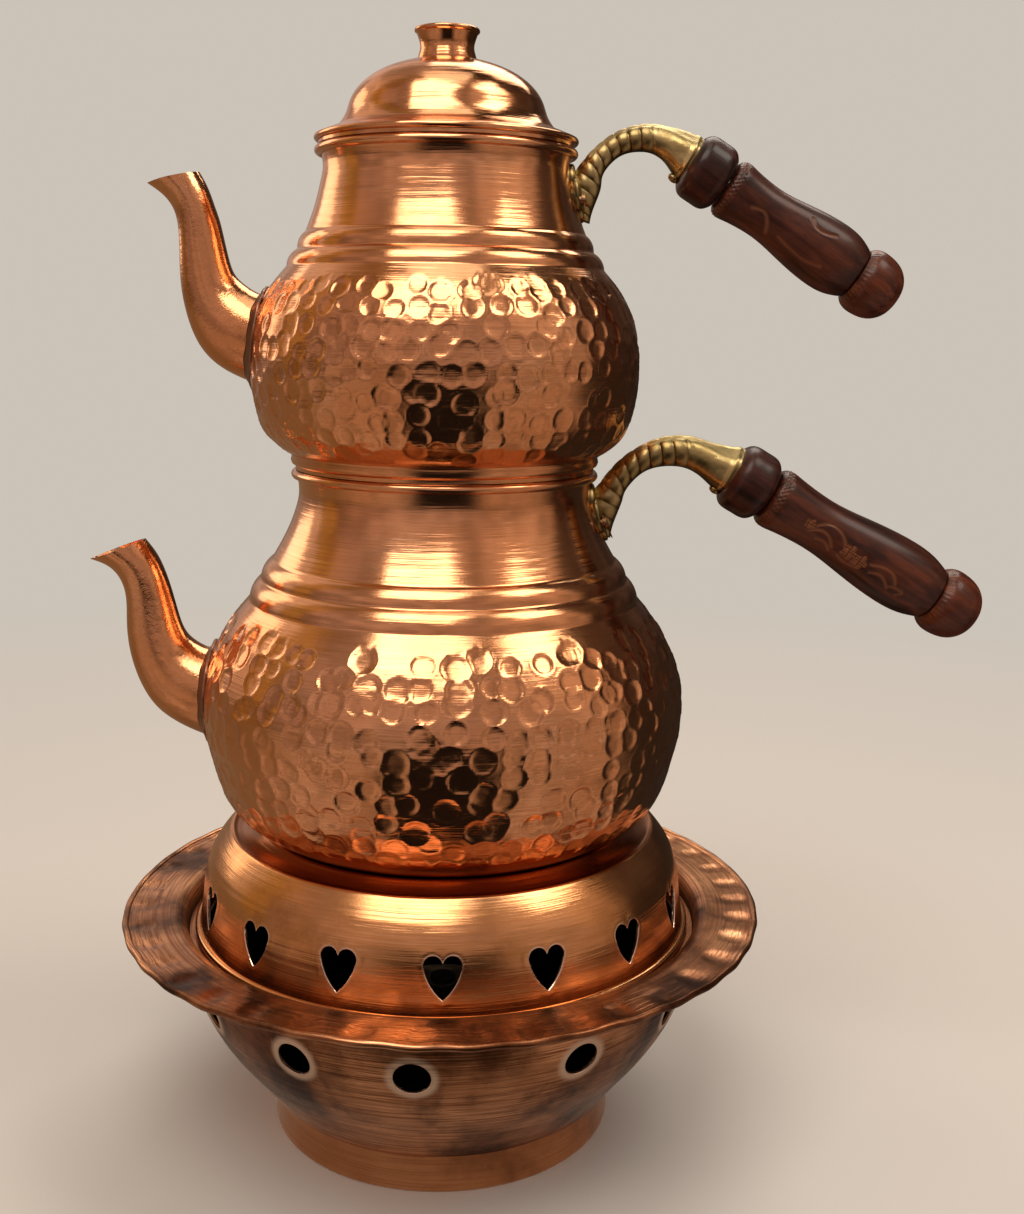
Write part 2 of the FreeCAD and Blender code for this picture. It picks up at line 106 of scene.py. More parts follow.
# Degrees from the front towards +X. The rear seven are evenly spaced.
VENT_ANGLES = [-60.0, -31.5, -6.0, 29.5, 60.0] + [90.0 + 30.0 * i for i in range(7)]
COVER = [
    [(93.0, 80.7), (92.3, 84.0), (91.2, 91.0)],
    [(91.2, 91.0), (90.3, 98.5), (88.6, 105.5), (85.2, 111.8), (80.6, 117.4)],
    [(80.6, 117.4), (79.4, 118.0), (78.4, 117.4)],
    [(78.4, 117.4), (73.5, 117.3), (69.0, 119.5)],
    [(69.0, 119.5), (58.2, 119.5)],
    [(58.2, 119.5), (57.0, 115.0)],
]
HEARTS = 16
HEART_W = 12.4
HEART_H = 14.8
HEART_Z = 94.5
HEART_PATCH = 10.0
HEART_RADIUS = 90.8      # of the cover at the hearts' middle
COVER_BEAD = (93.0, 80.7, 1.4)  # radius, height and size of the rolled edge
LID_BEAD = (45.2, 366.4, 1.1)
LID = [
    [(45.2, 367.4), (41.8, 368.9), (38.2, 370.2)],
    [(38.2, 370.2), (35.3, 374.5), (33.7, 379.0), (29.6, 384.7), (22.4, 389.4), (10.6, 393.2)],
    [(10.6, 393.2), (0, 393.2)],
]
KNOB = [
    [(0, 393.2), (10.4, 393.2)],
    [(10.4, 393.2), (9.9, 395.0), (9.4, 397.2), (9.9, 399.9), (10.7, 402.0)],
    [(10.7, 402.0), (11.4, 402.8), (10.7, 403.6)],
    [(10.7, 403.6), (7.6, 402.9), (4.0, 402.7)],
    [(4.0, 402.7), (0, 402.7)],
]
LOWER_POT = {
    "name": "lower",
    "outline": [
        [(67.5, 119.8), (79.5, 128.8), (86.0, 144.5), (89.2, 160.5), (89.2, 170.0),
         (86.0, 182.8), (79.4, 195.2), (71.6, 204.9)],
        [(71.6, 204.9), (70.4, 208.9), (67.3, 212.3)],
        [(67.3, 212.3), (66.2, 216.0), (63.1, 219.1)],
        [(63.1, 219.1), (57.9, 228.5), (54.3, 237.5), (53.1, 243.5), (53.7, 249.4)],
    ],
    "rim": (54.2, 250.0),
    "hammered": (129.5, 196.5),
    "rolls": (203.5, 220.5),
    "columns": 704,
    "mark_pitch": (8.1, 9.5),
    "mark_size": (3.7, 5.0),
    "seed": 11,
    "spout_outer": [(-62, 145), (-90.7, 151.5), (-101.0, 156.6), (-108.1, 162.6), (-115.1, 176.8),
                    (-117.4, 194.7), (-118.1, 207.0), (-122.5, 213.8), (-130.0, 217.2)],
    "spout_inner": [(-58, 184), (-85.0, 183.2), (-90.4, 185.0), (-94.2, 187.8), (-97.6, 193.5),
                    (-100.6, 205.1), (-103.2, 213.5), (-105.8, 219.3), (-109.7, 224.8)],
    "spout_width": [31, 30, 27, 23.5, 20, 17, 16, 15.5, 15],
    "arm_outer": [(55.5, 228.5), (52.0, 238.5), (56.2, 245.0), (60.9, 251.2), (66.1, 256.4), (72.0, 260.3),
                  (78.3, 263.0), (84.6, 264.1), (92.1, 263.4), (99.3, 260.9)],
    "arm_inner": [(61.4, 226.4), (62.7, 232.5), (65.4, 240.0), (66.4, 243.6), (69.6, 248.0), (74.2, 251.5),
                  (80.0, 253.1), (86.0, 253.1), (91.5, 251.3), (96.6, 247.8)],
    "plate_z": 236.6,
    "plate_scale": 1.06,
    "wood_start": (105.7, 251.5),
    "wood_slope": 30.2,
    "socket_r": 8.4,
    "wood_scale": 1.0,
    "grip_length": 73.7,
}
UPPER_POT = {
    "name": "upper",
    "outline": [
        [(54.4, 253.2), (55.9, 255.0), (55.2, 256.9)],
        [(55.2, 256.9), (60.5, 260.4), (65.3, 265.8), (69.0, 278.5), (69.7, 291.5), (67.6, 304.4),
         (62.9, 314.6), (56.3, 322.8)],
        [(56.3, 322.8), (55.3, 326.1), (52.4, 328.7)],
        [(52.4, 328.7), (51.9, 331.9), (49.6, 334.7)],
        [(49.6, 334.7), (46.3, 343.5), (44.0, 352.3), (43.2, 357.4), (44.0, 361.8)],
    ],
    "rim": (44.6, 362.2),
    "hammered": (261.5, 315.0),
    "rolls": (321.5, 336.0),
    "columns": 608,
    "mark_pitch": (7.0, 8.2),
    "mark_size": (3.2, 4.4),
    "seed": 23,
    "spout_outer": [(-46, 277), (-68.9, 281.9), (-80.8, 287.6), (-87.8, 295.0), (-92.7, 308.6),
                    (-94.0, 325.0), (-94.9, 339.7), (-98.8, 346.2), (-104.5, 350.4)],
    "spout_inner": [(-42, 313), (-64.0, 312.7), (-69.5, 314.9), (-73.6, 318.1), (-76.6, 324.2),
                    (-79.3, 336.5), (-81.4, 343.3), (-83.7, 349.6), (-86.3, 354.4)],
    "spout_width": [31, 29.5, 26, 22, 18.5, 16, 15.5, 15, 14.5],
    "arm_outer": [(46.0, 341.0), (42.0, 351.5), (46.2, 357.5), (50.2, 362.6), (54.2, 366.4), (59.0, 369.8),
                  (65.0, 372.2), (71.5, 373.1), (77.2, 372.4), (83.3, 370.6)],
    "arm_inner": [(50.9, 339.2), (52.3, 344.8), (54.6, 351.5), (55.2, 355.8), (58.0, 359.9), (61.9, 362.8),
                  (66.6, 364.0), (71.9, 363.7), (76.0, 361.6), (79.4, 358.2)],
    "plate_z": 350.0,
    "plate_scale": 1.0,
    "wood_start": (86.1, 361.3),
    "wood_slope": 31.75,
    "socket_r": 7.6,
    "wood_scale": 0.93,
    "grip_length": 56.3,
}
BARREL_LENGTH = 15.6
BARREL = [
    [(0, 0), (0, 9.6)],
    [(0, 9.6), (2.2, 12.2), (7.8, 12.9), (13.4, 12.2), (15.6, 9.8)],
    [(15.6, 9.8), (15.6, 0)],
]
GRIP = [
    [(0, 0), (0, 9.0)],
    [(0, 9.0), (0.015, 10.6), (0.045, 11.5), (0.10, 11.3), (0.20, 10.5), (0.33, 10.2), (0.52, 11.6),
     (0.76, 13.2), (0.92, 12.3), (1.0, 10.4)],
    [(1.0, 10.4), (1.0, 0)],
]
KNOB_END = [
    [(0, 0), (0, 10.2)],
    [(0, 10.2), (2.6, 12.3), (8.0, 12.9), (14.0, 11.2), (18.2, 6.6), (19.4, 0)],
]
WOOD_GAP = 0.7


# ---- curves ----

def spline(points, count):
    """A smooth curve through the points."""
    p = np.array(points, float)
    n = len(p)
    at = np.concatenate([[0], np.cumsum(np.linalg.norm(np.diff(p, axis=0), axis=1))])
    gap = np.diff(at)
    left = np.eye(n)
    right = np.zeros_like(p)
    for i in range(1, n - 1):
        left[i, i - 1:i + 2] = gap[i - 1], 2 * (gap[i - 1] + gap[i]), gap[i]
        right[i] = 6 * ((p[i + 1] - p[i]) / gap[i] - (p[i] - p[i - 1]) / gap[i - 1])
    bend = np.linalg.solve(left, right)
    u = np.linspace(0, at[-1], count)
    k = np.clip(np.searchsorted(at, u, side="right") - 1, 0, n - 2)
    since = (u - at[k])[:, None]
    until = (at[k + 1] - u)[:, None]
    width = gap[k][:, None]
    return (bend[k] * until ** 3 / (6 * width) + bend[k + 1] * since ** 3 / (6 * width)
            + (p[k] / width - bend[k] * width / 6) * until
            + (p[k + 1] / width - bend[k + 1] * width / 6) * since)


def arc(points, count):
    """The circular arc through three points."""
    a, b, c = (complex(*p) for p in points)
    w = (c - a) / (b - a)
    centre = a + (b - a) * (w - abs(w) ** 2) / (2j * w.imag)
    angles = np.unwrap(np.angle([a - centre, b - centre, c - centre]))
    swept = np.linspace(angles[0], angles[2], count)
    return np.stack([centre.real + abs(a - centre) * np.cos(swept),
                     centre.imag + abs(a - centre) * np.sin(swept)], 1)


def outline(stretches, step=0.12):
    """Joined stretches as one dense chain of points."""
    chain = []
    for stretch in stretches:
        length = np.linalg.norm(np.diff(np.array(stretch, float), axis=0), axis=1).sum()
        count = max(3, int(length / step))
        if len(stretch) == 2:
            points = np.linspace(stretch[0], stretch[1], count)
        elif len(stretch) == 3:
            points = arc(stretch, count)
        else:
            points = spline(stretch, count)
        chain.append(points if not chain else points[1:])
    return np.vstack(chain)


def lengths(chain):
    return np.concatenate([[0], np.cumsum(np.linalg.norm(np.diff(chain, axis=0), axis=1))])


def unit(vectors):
    return vectors / np.linalg.norm(vectors, axis=1)[:, None]


def outward(chain):
    """Unit normals on the right-hand side of a chain of points in the plane."""
    along = unit(np.gradient(chain, axis=0))
    return np.stack([along[:, 1], -along[:, 0]], 1)


def respaced(chain, spacing):
    """Distances along a dense chain with the given local spacing, both ends kept."""
    s = lengths(chain)
    steps = np.diff(s) / (0.5 * (spacing[1:] + spacing[:-1]))
    total = np.concatenate([[0], np.cumsum(steps)])
    return np.interp(np.linspace(0, total[-1], max(3, round(total[-1]) + 1)), total, s)


def sample(values, s, places):
    return np.stack([np.interp(places, s, values[:, k]) for k in range(values.shape[1])], 1)


def sampled(stretches, spacing, step=0.12):
    """Evenly spaced points along an outline, and the unit normals there."""
    chain = outline(stretches, step)
    s = lengths(chain)
    places = respaced(chain, np.full(len(chain), spacing))
    return sample(chain, s, places), sample(outward(chain), s, places)


def smooth(x, low, high):
    t = np.clip((np.asarray(x, float) - low) / (high - low), 0, 1)
    return t * t * (3 - 2 * t)


# ---- meshes ----

def bridge(a, na, b, nb):
    """Faces between rings of na and nb vertices that start at a and b.
    The rings are equal, or one has twice the other's points, or just one point."""
    i = np.arange(max(na, nb) if 1 in (na, nb) else min(na, nb))
    j = (i + 1) % len(i)
    first, middle, last = 2 * i, 2 * i + 1, (2 * i + 2) % max(na, nb)
    if na == nb == 1:
        groups = []
    elif na == nb:
        groups = [(a + i, a + j, b + j, b + i)]
    elif na == 1:
        groups = [(a + 0 * i, b + j, b + i)]
    elif nb == 1:
        groups = [(a + i, a + j, b + 0 * i)]
    elif nb > na:
        groups = [(a + i, b + middle, b + first), (a + i, a + j, b + middle), (a + j, b + last, b + middle)]
    else:
        groups = [(a + first, a + middle, b + i), (a + middle, b + j, b + i), (a + middle, a + last, b + j)]
    return [face for corners in groups for face in np.stack(corners, 1).tolist()]


def skin(rings, closed=False):
    """A surface through rings of points; closed joins the last ring to the first."""
    starts = np.concatenate([[0], np.cumsum([len(r) for r in rings])])
    order = list(range(len(rings))) + ([0] if closed else [])
    faces = []
    for k, m in zip(order[:-1], order[1:]):
        faces += bridge(int(starts[k]), len(rings[k]), int(starts[m]), len(rings[m]))
    return np.vstack(rings), faces


def capped(rings):
    """A surface through rings, closed at each end by a point in the middle of the end ring."""
    first, last = (ring.mean(0)[None, :] for ring in (rings[0], rings[-1]))
    return skin([first] + rings + [last])


def ring_of_quads(a, b):
    """Quads between two equal loops of vertex numbers."""
    return np.stack([a, np.roll(a, -1), np.roll(b, -1), b], 1).tolist()


def joined(*shells):
    """Several (points, faces) as one."""
    points = []
    faces = []
    start = 0
    for p, f in shells:
        points.append(p)
        faces += [[start + v for v in face] for face in f]
        start += len(p)
    return np.vstack(points), faces


def piece(name, shell, body, material, replaces=(), hollow=None, sharp=SHARP):
    """A closed mesh made of (points in mm, faces) that rides on a CAD body."""
    points, faces = shell
    mesh = bpy.data.meshes.new(name)
    mesh.from_pydata((points * MM).tolist(), [], faces)
    attribute = mesh.attributes.new("hollow", "FLOAT", "POINT")
    values = np.zeros(len(points)) if hollow is None else np.resize(hollow, len(points))
    attribute.data.foreach_set("value", values.astype(np.float32))
    work = bmesh.new()
    work.from_mesh(mesh)
    bmesh.ops.recalc_face_normals(work, faces=work.faces)
    work.to_mesh(mesh)
    work.free()
    mesh.shade_smooth()
    mesh.set_sharp_from_angle(angle=sharp)
    obj = bpy.data.objects.new(name, mesh)
    bpy.context.scene.collection.objects.link(obj)
    mesh.materials.append(material)
    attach(obj, body)
    if replaces:
        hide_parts(*replaces)


def circle_of(radius, height, count, out=0.0, up=0.0):
    """A ring about the Z axis; out and up may differ round it."""
    angle = np.arange(count) * (TURN / count)
    r = radius + out
    return np.stack([r * np.cos(angle), r * np.sin(angle), height + up + 0 * angle], 1)


def rings_of(points, count):
    """Rings about the Z axis at points (radius, height), or single points on the axis."""
    return [circle_of(r, z, count) if r > AXIS else np.array([[0.0, 0.0, z]]) for r, z in points]


def bead(radius, height, size, count, segments=14, warp=None):
    """A rolled edge."""
    section = np.arange(segments) * (TURN / segments)
    rings = [circle_of(radius + size * math.cos(a), height + size * math.sin(a), count) for a in section]
    points, faces = skin(rings, closed=True)
    return (points if warp is None else warp(points)), faces


def turned(stretches, spacing, count):
    """A turned sheet: outer face up, inner face back down. An outline that ends on the axis closes there."""
    points, across = sampled(stretches, spacing)
    inside = points - across * SHEET
    return skin(rings_of(points, count) + rings_of(inside[::-1], count), closed=True)


def solid_of(stretches, spacing, count):
    """A turned solid whose outline starts and ends on the axis."""
    return skin(rings_of(sampled(stretches, spacing)[0], count))


# ---- hammering ----

def hammer_marks(pot, s, radius, rng):
    """Round marks in uneven rows: (distance along the outline, angle, size, depth)."""
    low, high = s[0], s[-1]
    pitch_up, pitch_round = pot["mark_pitch"]
    rows = int(round((high - low) / pitch_up))
    marks = []
    for row in range(rows + 1):
        middle = low + (high - low) * row / rows
        round_here = TURN * np.interp(middle, s, radius)
        count = int(round_here / pitch_round)
        for k in range(count):
            if rng.random() < MARK_MISSED:
                continue
            again = 2 if rng.random() < MARK_TWICE else 1
            for _ in range(again):
                place = middle + rng.normal(0, 0.20) * pitch_up
                angle = (k + 0.5 * (row % 2) + rng.normal(0, 0.17)) * TURN / count
                size = rng.uniform(*pot["mark_size"])
                sunk = size * rng.uniform(0.080, 0.140) * (0.55 + 0.45 * min(1.0, 3.0 * row / rows))
                marks.append((place, angle % TURN, size, sunk))
    return marks


def hammered(s, radius, columns, marks):
    """How far each point of a grid stands out, for rows at s with these radii."""
    sunk = np.zeros((len(s), columns))
    lip = np.zeros((len(s), columns))
    step = TURN / columns
    for place, angle, size, depth in marks:
        near = np.nonzero(np.abs(s - place) < size + LIP_REACH)[0]
        if not len(near):
            continue
        reach = int((size + LIP_REACH) / (radius[near].min() * step)) + 1
        cols = int(angle / step) + np.arange(-reach, reach + 1)
        away = np.hypot((s[near] - place)[:, None], radius[near][:, None] * (cols * step - angle))
        block = np.ix_(near, cols % columns)
        sunk[block] = np.maximum(sunk[block], depth * np.clip(1 - (away / size) ** 4, 0, None))
        lip[block] = np.maximum(lip[block], LIP_HEIGHT * np.exp(-((away - size) / LIP_WIDTH) ** 2))
    return lip - sunk


def unevenness(s, columns, rng, height=0.07):
    """Slow waves left by the beating."""
    angle = np.arange(columns) * (TURN / columns)
    waves = np.zeros((len(s), columns))
    for _ in range(16):
        around = rng.integers(5, 26)
        up = rng.uniform(0.12, 0.5)
        waves += (np.sin(around * angle + rng.uniform(0, TURN))[None, :]
                  * np.sin(up * s + rng.uniform(0, TURN))[:, None])
    return waves * height / 2.5


def pot_body(pot):
    """The hammered body with its rolled rim. Rows away from the marks have half the points."""
    rng = np.random.default_rng(pot["seed"])
    chain = outline(pot["outline"])
    s = lengths(chain)
    low, high = pot["hammered"]
    roll_low, roll_high = pot["rolls"]
    z = chain[:, 1]
    spacing = np.where((z > low - 2) & (z < high + 2), MARKED_SPACING, PLAIN_SPACING)
    spacing = np.where((z > roll_low) & (z < roll_high), ROLL_SPACING, spacing)
    places = respaced(chain, spacing)
    points = sample(chain, s, places)
    across = sample(outward(chain), s, places)
    columns = pot["columns"]
    inside = (points[:, 1] > low) & (points[:, 1] < high)
    zone = places[inside]
    marks = hammer_marks(pot, zone, points[inside, 0], rng)
    relief = hammered(places, points[:, 0], columns, marks)
    fade = smooth(points[:, 1], low - 4, low + 4) * (1 - smooth(points[:, 1], high - 3, high + 5))
    relief += unevenness(places, columns, rng) * fade[:, None]
    marked = (points[:, 1] > low - 6) & (points[:, 1] < high + 6)
    rings = []
    deep = []
    for (r, height), (out, up), d, fine in zip(points, across, relief, marked):
        if not fine:
            d = d[::2]
        rings.append(circle_of(r, height, len(d), out * d, up * d))
        # painted shade: the deeper the hammer mark, the darker its tone
        deep.append(np.clip(-d / MARK_SHADE_DEPTH, 0, 1))
    # the pot's inner face gets a painted shade of 0.6
    inner = (points - across * SHEET)[::-3]
    for r, height in inner:
        rings.append(circle_of(r, height, columns // 2))
        deep.append(np.full(columns // 2, 0.6))
    rim = bead(*pot["rim"], RIM_BEAD, count=320)
    body = pot["name"] + "_pot"
    piece(body + "_shell", joined(skin(rings, closed=True), rim), body, COPPER,
          [body + "_body"], hollow=np.concatenate(deep + [np.zeros(len(rim[0]))]))


# ---- pierced sheets ----

def pierced(stretches, height, half, angles, hole, spacing, relief, warp=None):
    """A turned sheet with the same hole cut at each angle, in square patches with sides of 2 half.
    hole(directions) gives the hole's radius in each direction of the flattened sheet.
    relief(distance, angle, radius, distance of the holes' middle) stands out from the sheet.
    Returns the shell and each point's "hollow" value."""
    cells = PATCH_CELLS
    chain = outline(stretches)
    chain_s = lengths(chain)
    chain_n = outward(chain)
    rising = np.argmax(chain[:, 1]) + 1
    middle = np.interp(height, chain[:rising, 1], chain_s[:rising])
    radius = np.interp(middle, chain_s, chain[:, 0])
    width = half / radius
    local = spacing(chain)
    below = chain_s < middle - half
    above = chain_s > middle + half
    rows = np.concatenate([
        respaced(chain[below], local[below]) / chain_s[below][-1] * (middle - half),
        np.linspace(middle - half, middle + half, cells + 1)[1:-1],
        middle + half + respaced(chain[above], local[above])
        / lengths(chain[above])[-1] * (chain_s[-1] - middle - half),
    ])
    first_row = int(np.argmin(np.abs(rows - (middle - half))))
    centres = np.sort(np.radians(np.array(angles) - 90) % TURN)
    columns = []
    first_columns = []
    for here, after in zip(centres, np.append(centres[1:], centres[0] + TURN)):
        first_columns.append(len(columns))
        columns += list(np.linspace(here - width, here + width, cells + 1))
        gap = after - here - 2 * width
        more = max(2, int(round(gap * radius / (2 * half / cells))))
        columns += list(np.linspace(here + width, after - width, more + 1)[1:-1])
    columns = np.array(columns)
    n_rows = len(rows)
    n_columns = len(columns)
    s = np.repeat(rows, n_columns)
    theta = np.tile(columns, n_rows)
    grid = np.arange(n_rows * n_columns).reshape(n_rows, n_columns)
    keep = np.ones((n_rows - 1, n_columns), bool)
    for c in first_columns:
        keep[first_row:first_row + cells, c:c + cells] = False
    wrapped = np.concatenate([grid, grid[:, :1]], 1)
    quads = np.stack([wrapped[:-1, :-1], wrapped[:-1, 1:], wrapped[1:, 1:], wrapped[1:, :-1]], -1)
    faces = quads[keep].tolist()
    loops = []
    extra_s = [s]
    extra_theta = [theta]
    extra_near = [np.zeros(len(s))]
    count = len(s)
    for c, centre in zip(first_columns, centres):
        edge = np.concatenate([
            grid[first_row, c:c + cells],
            grid[first_row:first_row + cells, c + cells],
            grid[first_row + cells, c + cells:c:-1],
            grid[first_row + cells:first_row:-1, c],
        ])
        u = (theta[edge] - centre) * radius
        v = s[edge] - middle
        away = np.hypot(u, v)
        limit = hole(np.arctan2(v, u))
        target = (limit + BEVEL) / away
        previous = edge
        for step in (0.30, 0.56, 0.76, 0.90, 1.0):
            scale = 1 + (target - 1) * step
            extra_s.append(middle + v * scale)
            extra_theta.append(centre + u * scale / radius)
            extra_near.append(np.clip(1 - (away * scale - limit) / HALO, 0, 1))
            fresh = count + np.arange(len(edge))
            faces += ring_of_quads(previous, fresh)
            previous = fresh
            count += len(edge)
        loops.append((previous, centre, u, v, limit))
    s = np.concatenate(extra_s)
    theta = np.concatenate(extra_theta)
    near = np.concatenate(extra_near)

    def place(s, theta, depth):
        rz = sample(chain, chain_s, s)
        n = sample(chain_n, chain_s, s)
        d = relief(s, theta, rz[:, 0], middle) - depth
        r = rz[:, 0] + n[:, 0] * d
        points = np.stack([r * np.cos(theta), r * np.sin(theta), rz[:, 1] + n[:, 1] * d], 1)
        return points if warp is None else warp(points)

    total = len(s)
    points = [place(s, theta, 0.0), place(s, theta, SHEET)]
    smoked = 1 - smooth(np.hypot(points[1][:, 0], points[1][:, 1]), *SMOKED_WITHIN)
    near = [near, SOOT * smoked]
    faces += [[v + total for v in face[::-1]] for face in faces]
    count = 2 * total
    for outer_loop, centre, u, v, limit in loops:
        rim = limit / np.hypot(u, v)
        previous = outer_loop
        for depth in (BEVEL, SHEET - BEVEL):
            points.append(place(middle + v * rim, centre + u * rim / radius, depth))
            near.append(np.ones(len(u)))
            fresh = count + np.arange(len(u))
            faces += ring_of_quads(previous, fresh)
            previous = fresh
            count += len(u)
        faces += ring_of_quads(previous, outer_loop + total)
    for row in (0, n_rows - 1):
        if chain[0 if row == 0 else -1, 0] < AXIS:
            continue
        line = wrapped[row]
        faces += np.stack([line[:-1], line[1:], line[1:] + total, line[:-1] + total], 1).tolist()
    return welded(np.vstack(points), faces, np.concatenate(near))


def welded(points, faces, values):
    """Drops points that no face uses and joins points that lie together on the axis."""
    on_axis = np.hypot(points[:, 0], points[:, 1]) < 1e-6
    target = np.arange(len(points))
    for height in np.unique(np.round(points[on_axis, 2], 4)):
        same = np.nonzero(on_axis & (np.abs(points[:, 2] - height) < 1e-3))[0]
        target[same] = same[0]
    clean = []
    for face in faces:
        corners = []
        for v in face:
            v = int(target[v])
            if v not in corners:
                corners.append(v)
        if len(corners) > 2:
            clean.append(corners)
    used = np.unique(np.concatenate([np.array(f) for f in clean]))
    renumber = np.full(len(points), -1)
    renumber[used] = np.arange(len(used))
    return (points[used], [renumber[f].tolist() for f in clean]), values[used]


def heart(direction):
    """Radius of the heart-shaped hole in each direction from its middle."""
    half = HEART_W / 2
    top = HEART_H / 2
    lobe = arc([(0, top - HEART_H * 0.18), (half * 0.5, top), (half, top - HEART_H * 0.32)], 60)
    side = arc([(half, top - HEART_H * 0.32), (half * 0.72, -HEART_H * 0.13), (0, -top)], 60)
    right = np.vstack([lobe, side[1:]])
    angle = np.arctan2(right[:, 1], right[:, 0])[::-1]
    size = np.hypot(right[:, 0], right[:, 1])[::-1]
    folded = np.where(np.cos(direction) < 0, math.pi - direction, direction)
    folded = (folded + math.pi) % TURN - math.pi
    return np.interp(folded, angle, size)


def rim_warp(points):
    """The beaten rim waves up and down a little towards its edge."""
    r = np.hypot(points[:, 0], points[:, 1])
    angle = np.arctan2(points[:, 1], points[:, 0])
    weight = smooth(r, 105, 119)
    wave = 0.17 * np.cos(FLUTES * angle) + 0.30 * np.sin(3 * angle + 1.0) + 0.22 * np.sin(7 * angle + 2.2)
    pull = -0.35 - 0.13 * np.cos(FLUTES * angle + 0.4) - 0.1 * np.sin(5 * angle)
    moved = points.copy()
    moved[:, 0] += np.cos(angle) * pull * weight
    moved[:, 1] += np.sin(angle) * pull * weight
    moved[:, 2] += (wave - 0.4) * weight
    return moved


def flute_relief(s, theta, r, middle):
    """Elongated dimples pressed into the rim's top, and slow unevenness of the bowl."""
    phase = (theta * FLUTES / TURN + 0.13 * np.sin(5 * theta)) % 1.0 - 0.5
    across = phase * TURN * r / FLUTES / 4.6
    centre = (FLUTE_FROM + FLUTE_TO) / 2
    reach = (FLUTE_TO - FLUTE_FROM) / 2
    along = np.clip(np.abs(r - centre) - (reach - 3.5), 0, None) / 3.5
    flutes = 0.50 * np.clip(1 - across ** 2 - along ** 2, 0, None) * (r > FLUTE_FROM - 4)
    waves = 0.10 * np.sin(9 * theta + s / 9) * np.sin(s / 7 + 2 * np.sin(2 * theta)) * (r < 100)
    return flutes + waves


def brazier():
    def spacing(chain):
        r = chain[:, 0]
        side = np.where(r > 63, 1.9, 5.0)
        return np.where(r > 101, 0.95, side)
    shell, near = pierced(BOWL, VENT_Z, VENT_PATCH, VENT_ANGLES, lambda a: np.full(len(a), VENT_R), spacing,
                          flute_relief, rim_warp)
    edge = bead(RIM_BEAD_R, RIM_BEAD_Z, RIM_BEAD_SIZE, count=480, segments=12, warp=rim_warp)
    piece("brazier_bowl_shell", joined(shell, edge), "brazier", BOWL_COPPER,
          ["brazier_bowl"], hollow=np.concatenate([near, np.zeros(len(edge[0]))]))
    rings = rings_of(sampled(FOOT, 0.7, 0.05)[0], 240)
    piece("foot_ring_shell", skin(rings, closed=True), "brazier", FOOT_COPPER,
          ["foot_ring"])


def heart_relief(s, theta, r, middle):
    """A faint embossed line round each heart."""
    pitch = TURN / HEARTS
    offset = (theta + math.pi / 2 + pitch / 2) % pitch - pitch / 2
    u = offset * HEART_RADIUS
    v = s - middle
    gap = np.hypot(u, v) - heart(np.arctan2(v, u))
    line = 0.14 * np.exp(-((gap - 1.7) / 0.55) ** 2)
    lip = 0.10 * np.exp(-(gap / 0.7) ** 2)
    near = np.abs(v) < 14
    waves = 0.05 * np.sin(11 * theta + s / 8) * np.sin(s / 6 + np.sin(3 * theta))
    return (line + lip) * near + waves * (s < 45)


def cover():
    def spacing(chain):
        return np.where((chain[:, 0] < 84) & (chain[:, 0] > 67), 0.6, 1.2)
    angles = [360.0 * i / HEARTS for i in range(HEARTS)]
    shell, near = pierced(COVER, HEART_Z, HEART_PATCH, angles, heart, spacing, heart_relief)
    edge = bead(*COVER_BEAD, count=360)
    piece("warmer_cover_shell", joined(shell, edge), "cover", COVER_COPPER,
          ["warmer_cover"], hollow=np.concatenate([near, np.zeros(len(edge[0]))]))


# ---- spouts ----

def between(outer, inner, widths, count):
    """Middle, half height and half width of a tube between two edge lines in the XZ plane."""
    both = [o + i for o, i in zip(outer, inner)]
    path = spline([list(b) + [w] for b, w in zip(both, widths)], count)
    middle = (path[:, 0:2] + path[:, 2:4]) / 2
    half = (path[:, 0:2] - path[:, 2:4]) / 2
    return middle, half, path[:, 4] / 2


def spout_rings(pot, shrink):
    """Rings of the tube, shrunk by a distance. Towards the tip its outer side narrows to a lip."""
    middle, half, width = between(pot["spout_outer"], pot["spout_inner"], pot["spout_width"], SPOUT_ROWS)
    angle = np.arange(SPOUT_SEGMENTS) * (TURN / SPOUT_SEGMENTS)
    rings = []
    for k, (m, h, w) in enumerate(zip(middle, half, width)):
        size = np.hypot(*h)
        tall = h * (size - shrink) / size
        point = smooth(k / (SPOUT_ROWS - 1), 0.80, 1.0) * 0.55
        pinch = 1 - point * np.clip(np.cos(angle), 0, 1) ** 2
        x = m[0] + tall[0] * np.cos(angle)
        z = m[1] + tall[1] * np.cos(angle)
        y = (w - shrink) * np.sin(angle) * pinch
        rings.append(np.stack([x, y, z], 1))
    return np.array(rings)


def inside_pot(points, chain, margin=0.0):
    """How far points are inside a pot's outer face, positive inside."""
    face = np.interp(points[..., 2], chain[:, 1], chain[:, 0])
    return face + margin - np.hypot(points[..., 0], points[..., 1])


SPOUT_ROWS = 150
SPOUT_SEGMENTS = 72
# The soldered seam's section: how far out of the pot, up the tube, and away from the tube.
SEAM = [(-0.4, 2.1, 0.0), (0.25, 1.9, 0.1), (0.55, 1.1, 0.3), (0.75, 0.45, 0.9), (0.62, 0.1, 1.7),
        (0.5, 0.0, 2.6), (0.15, 0.0, 3.0), (-0.6, 0.0, 3.0), (-1.0, 0.0, 0.5)]


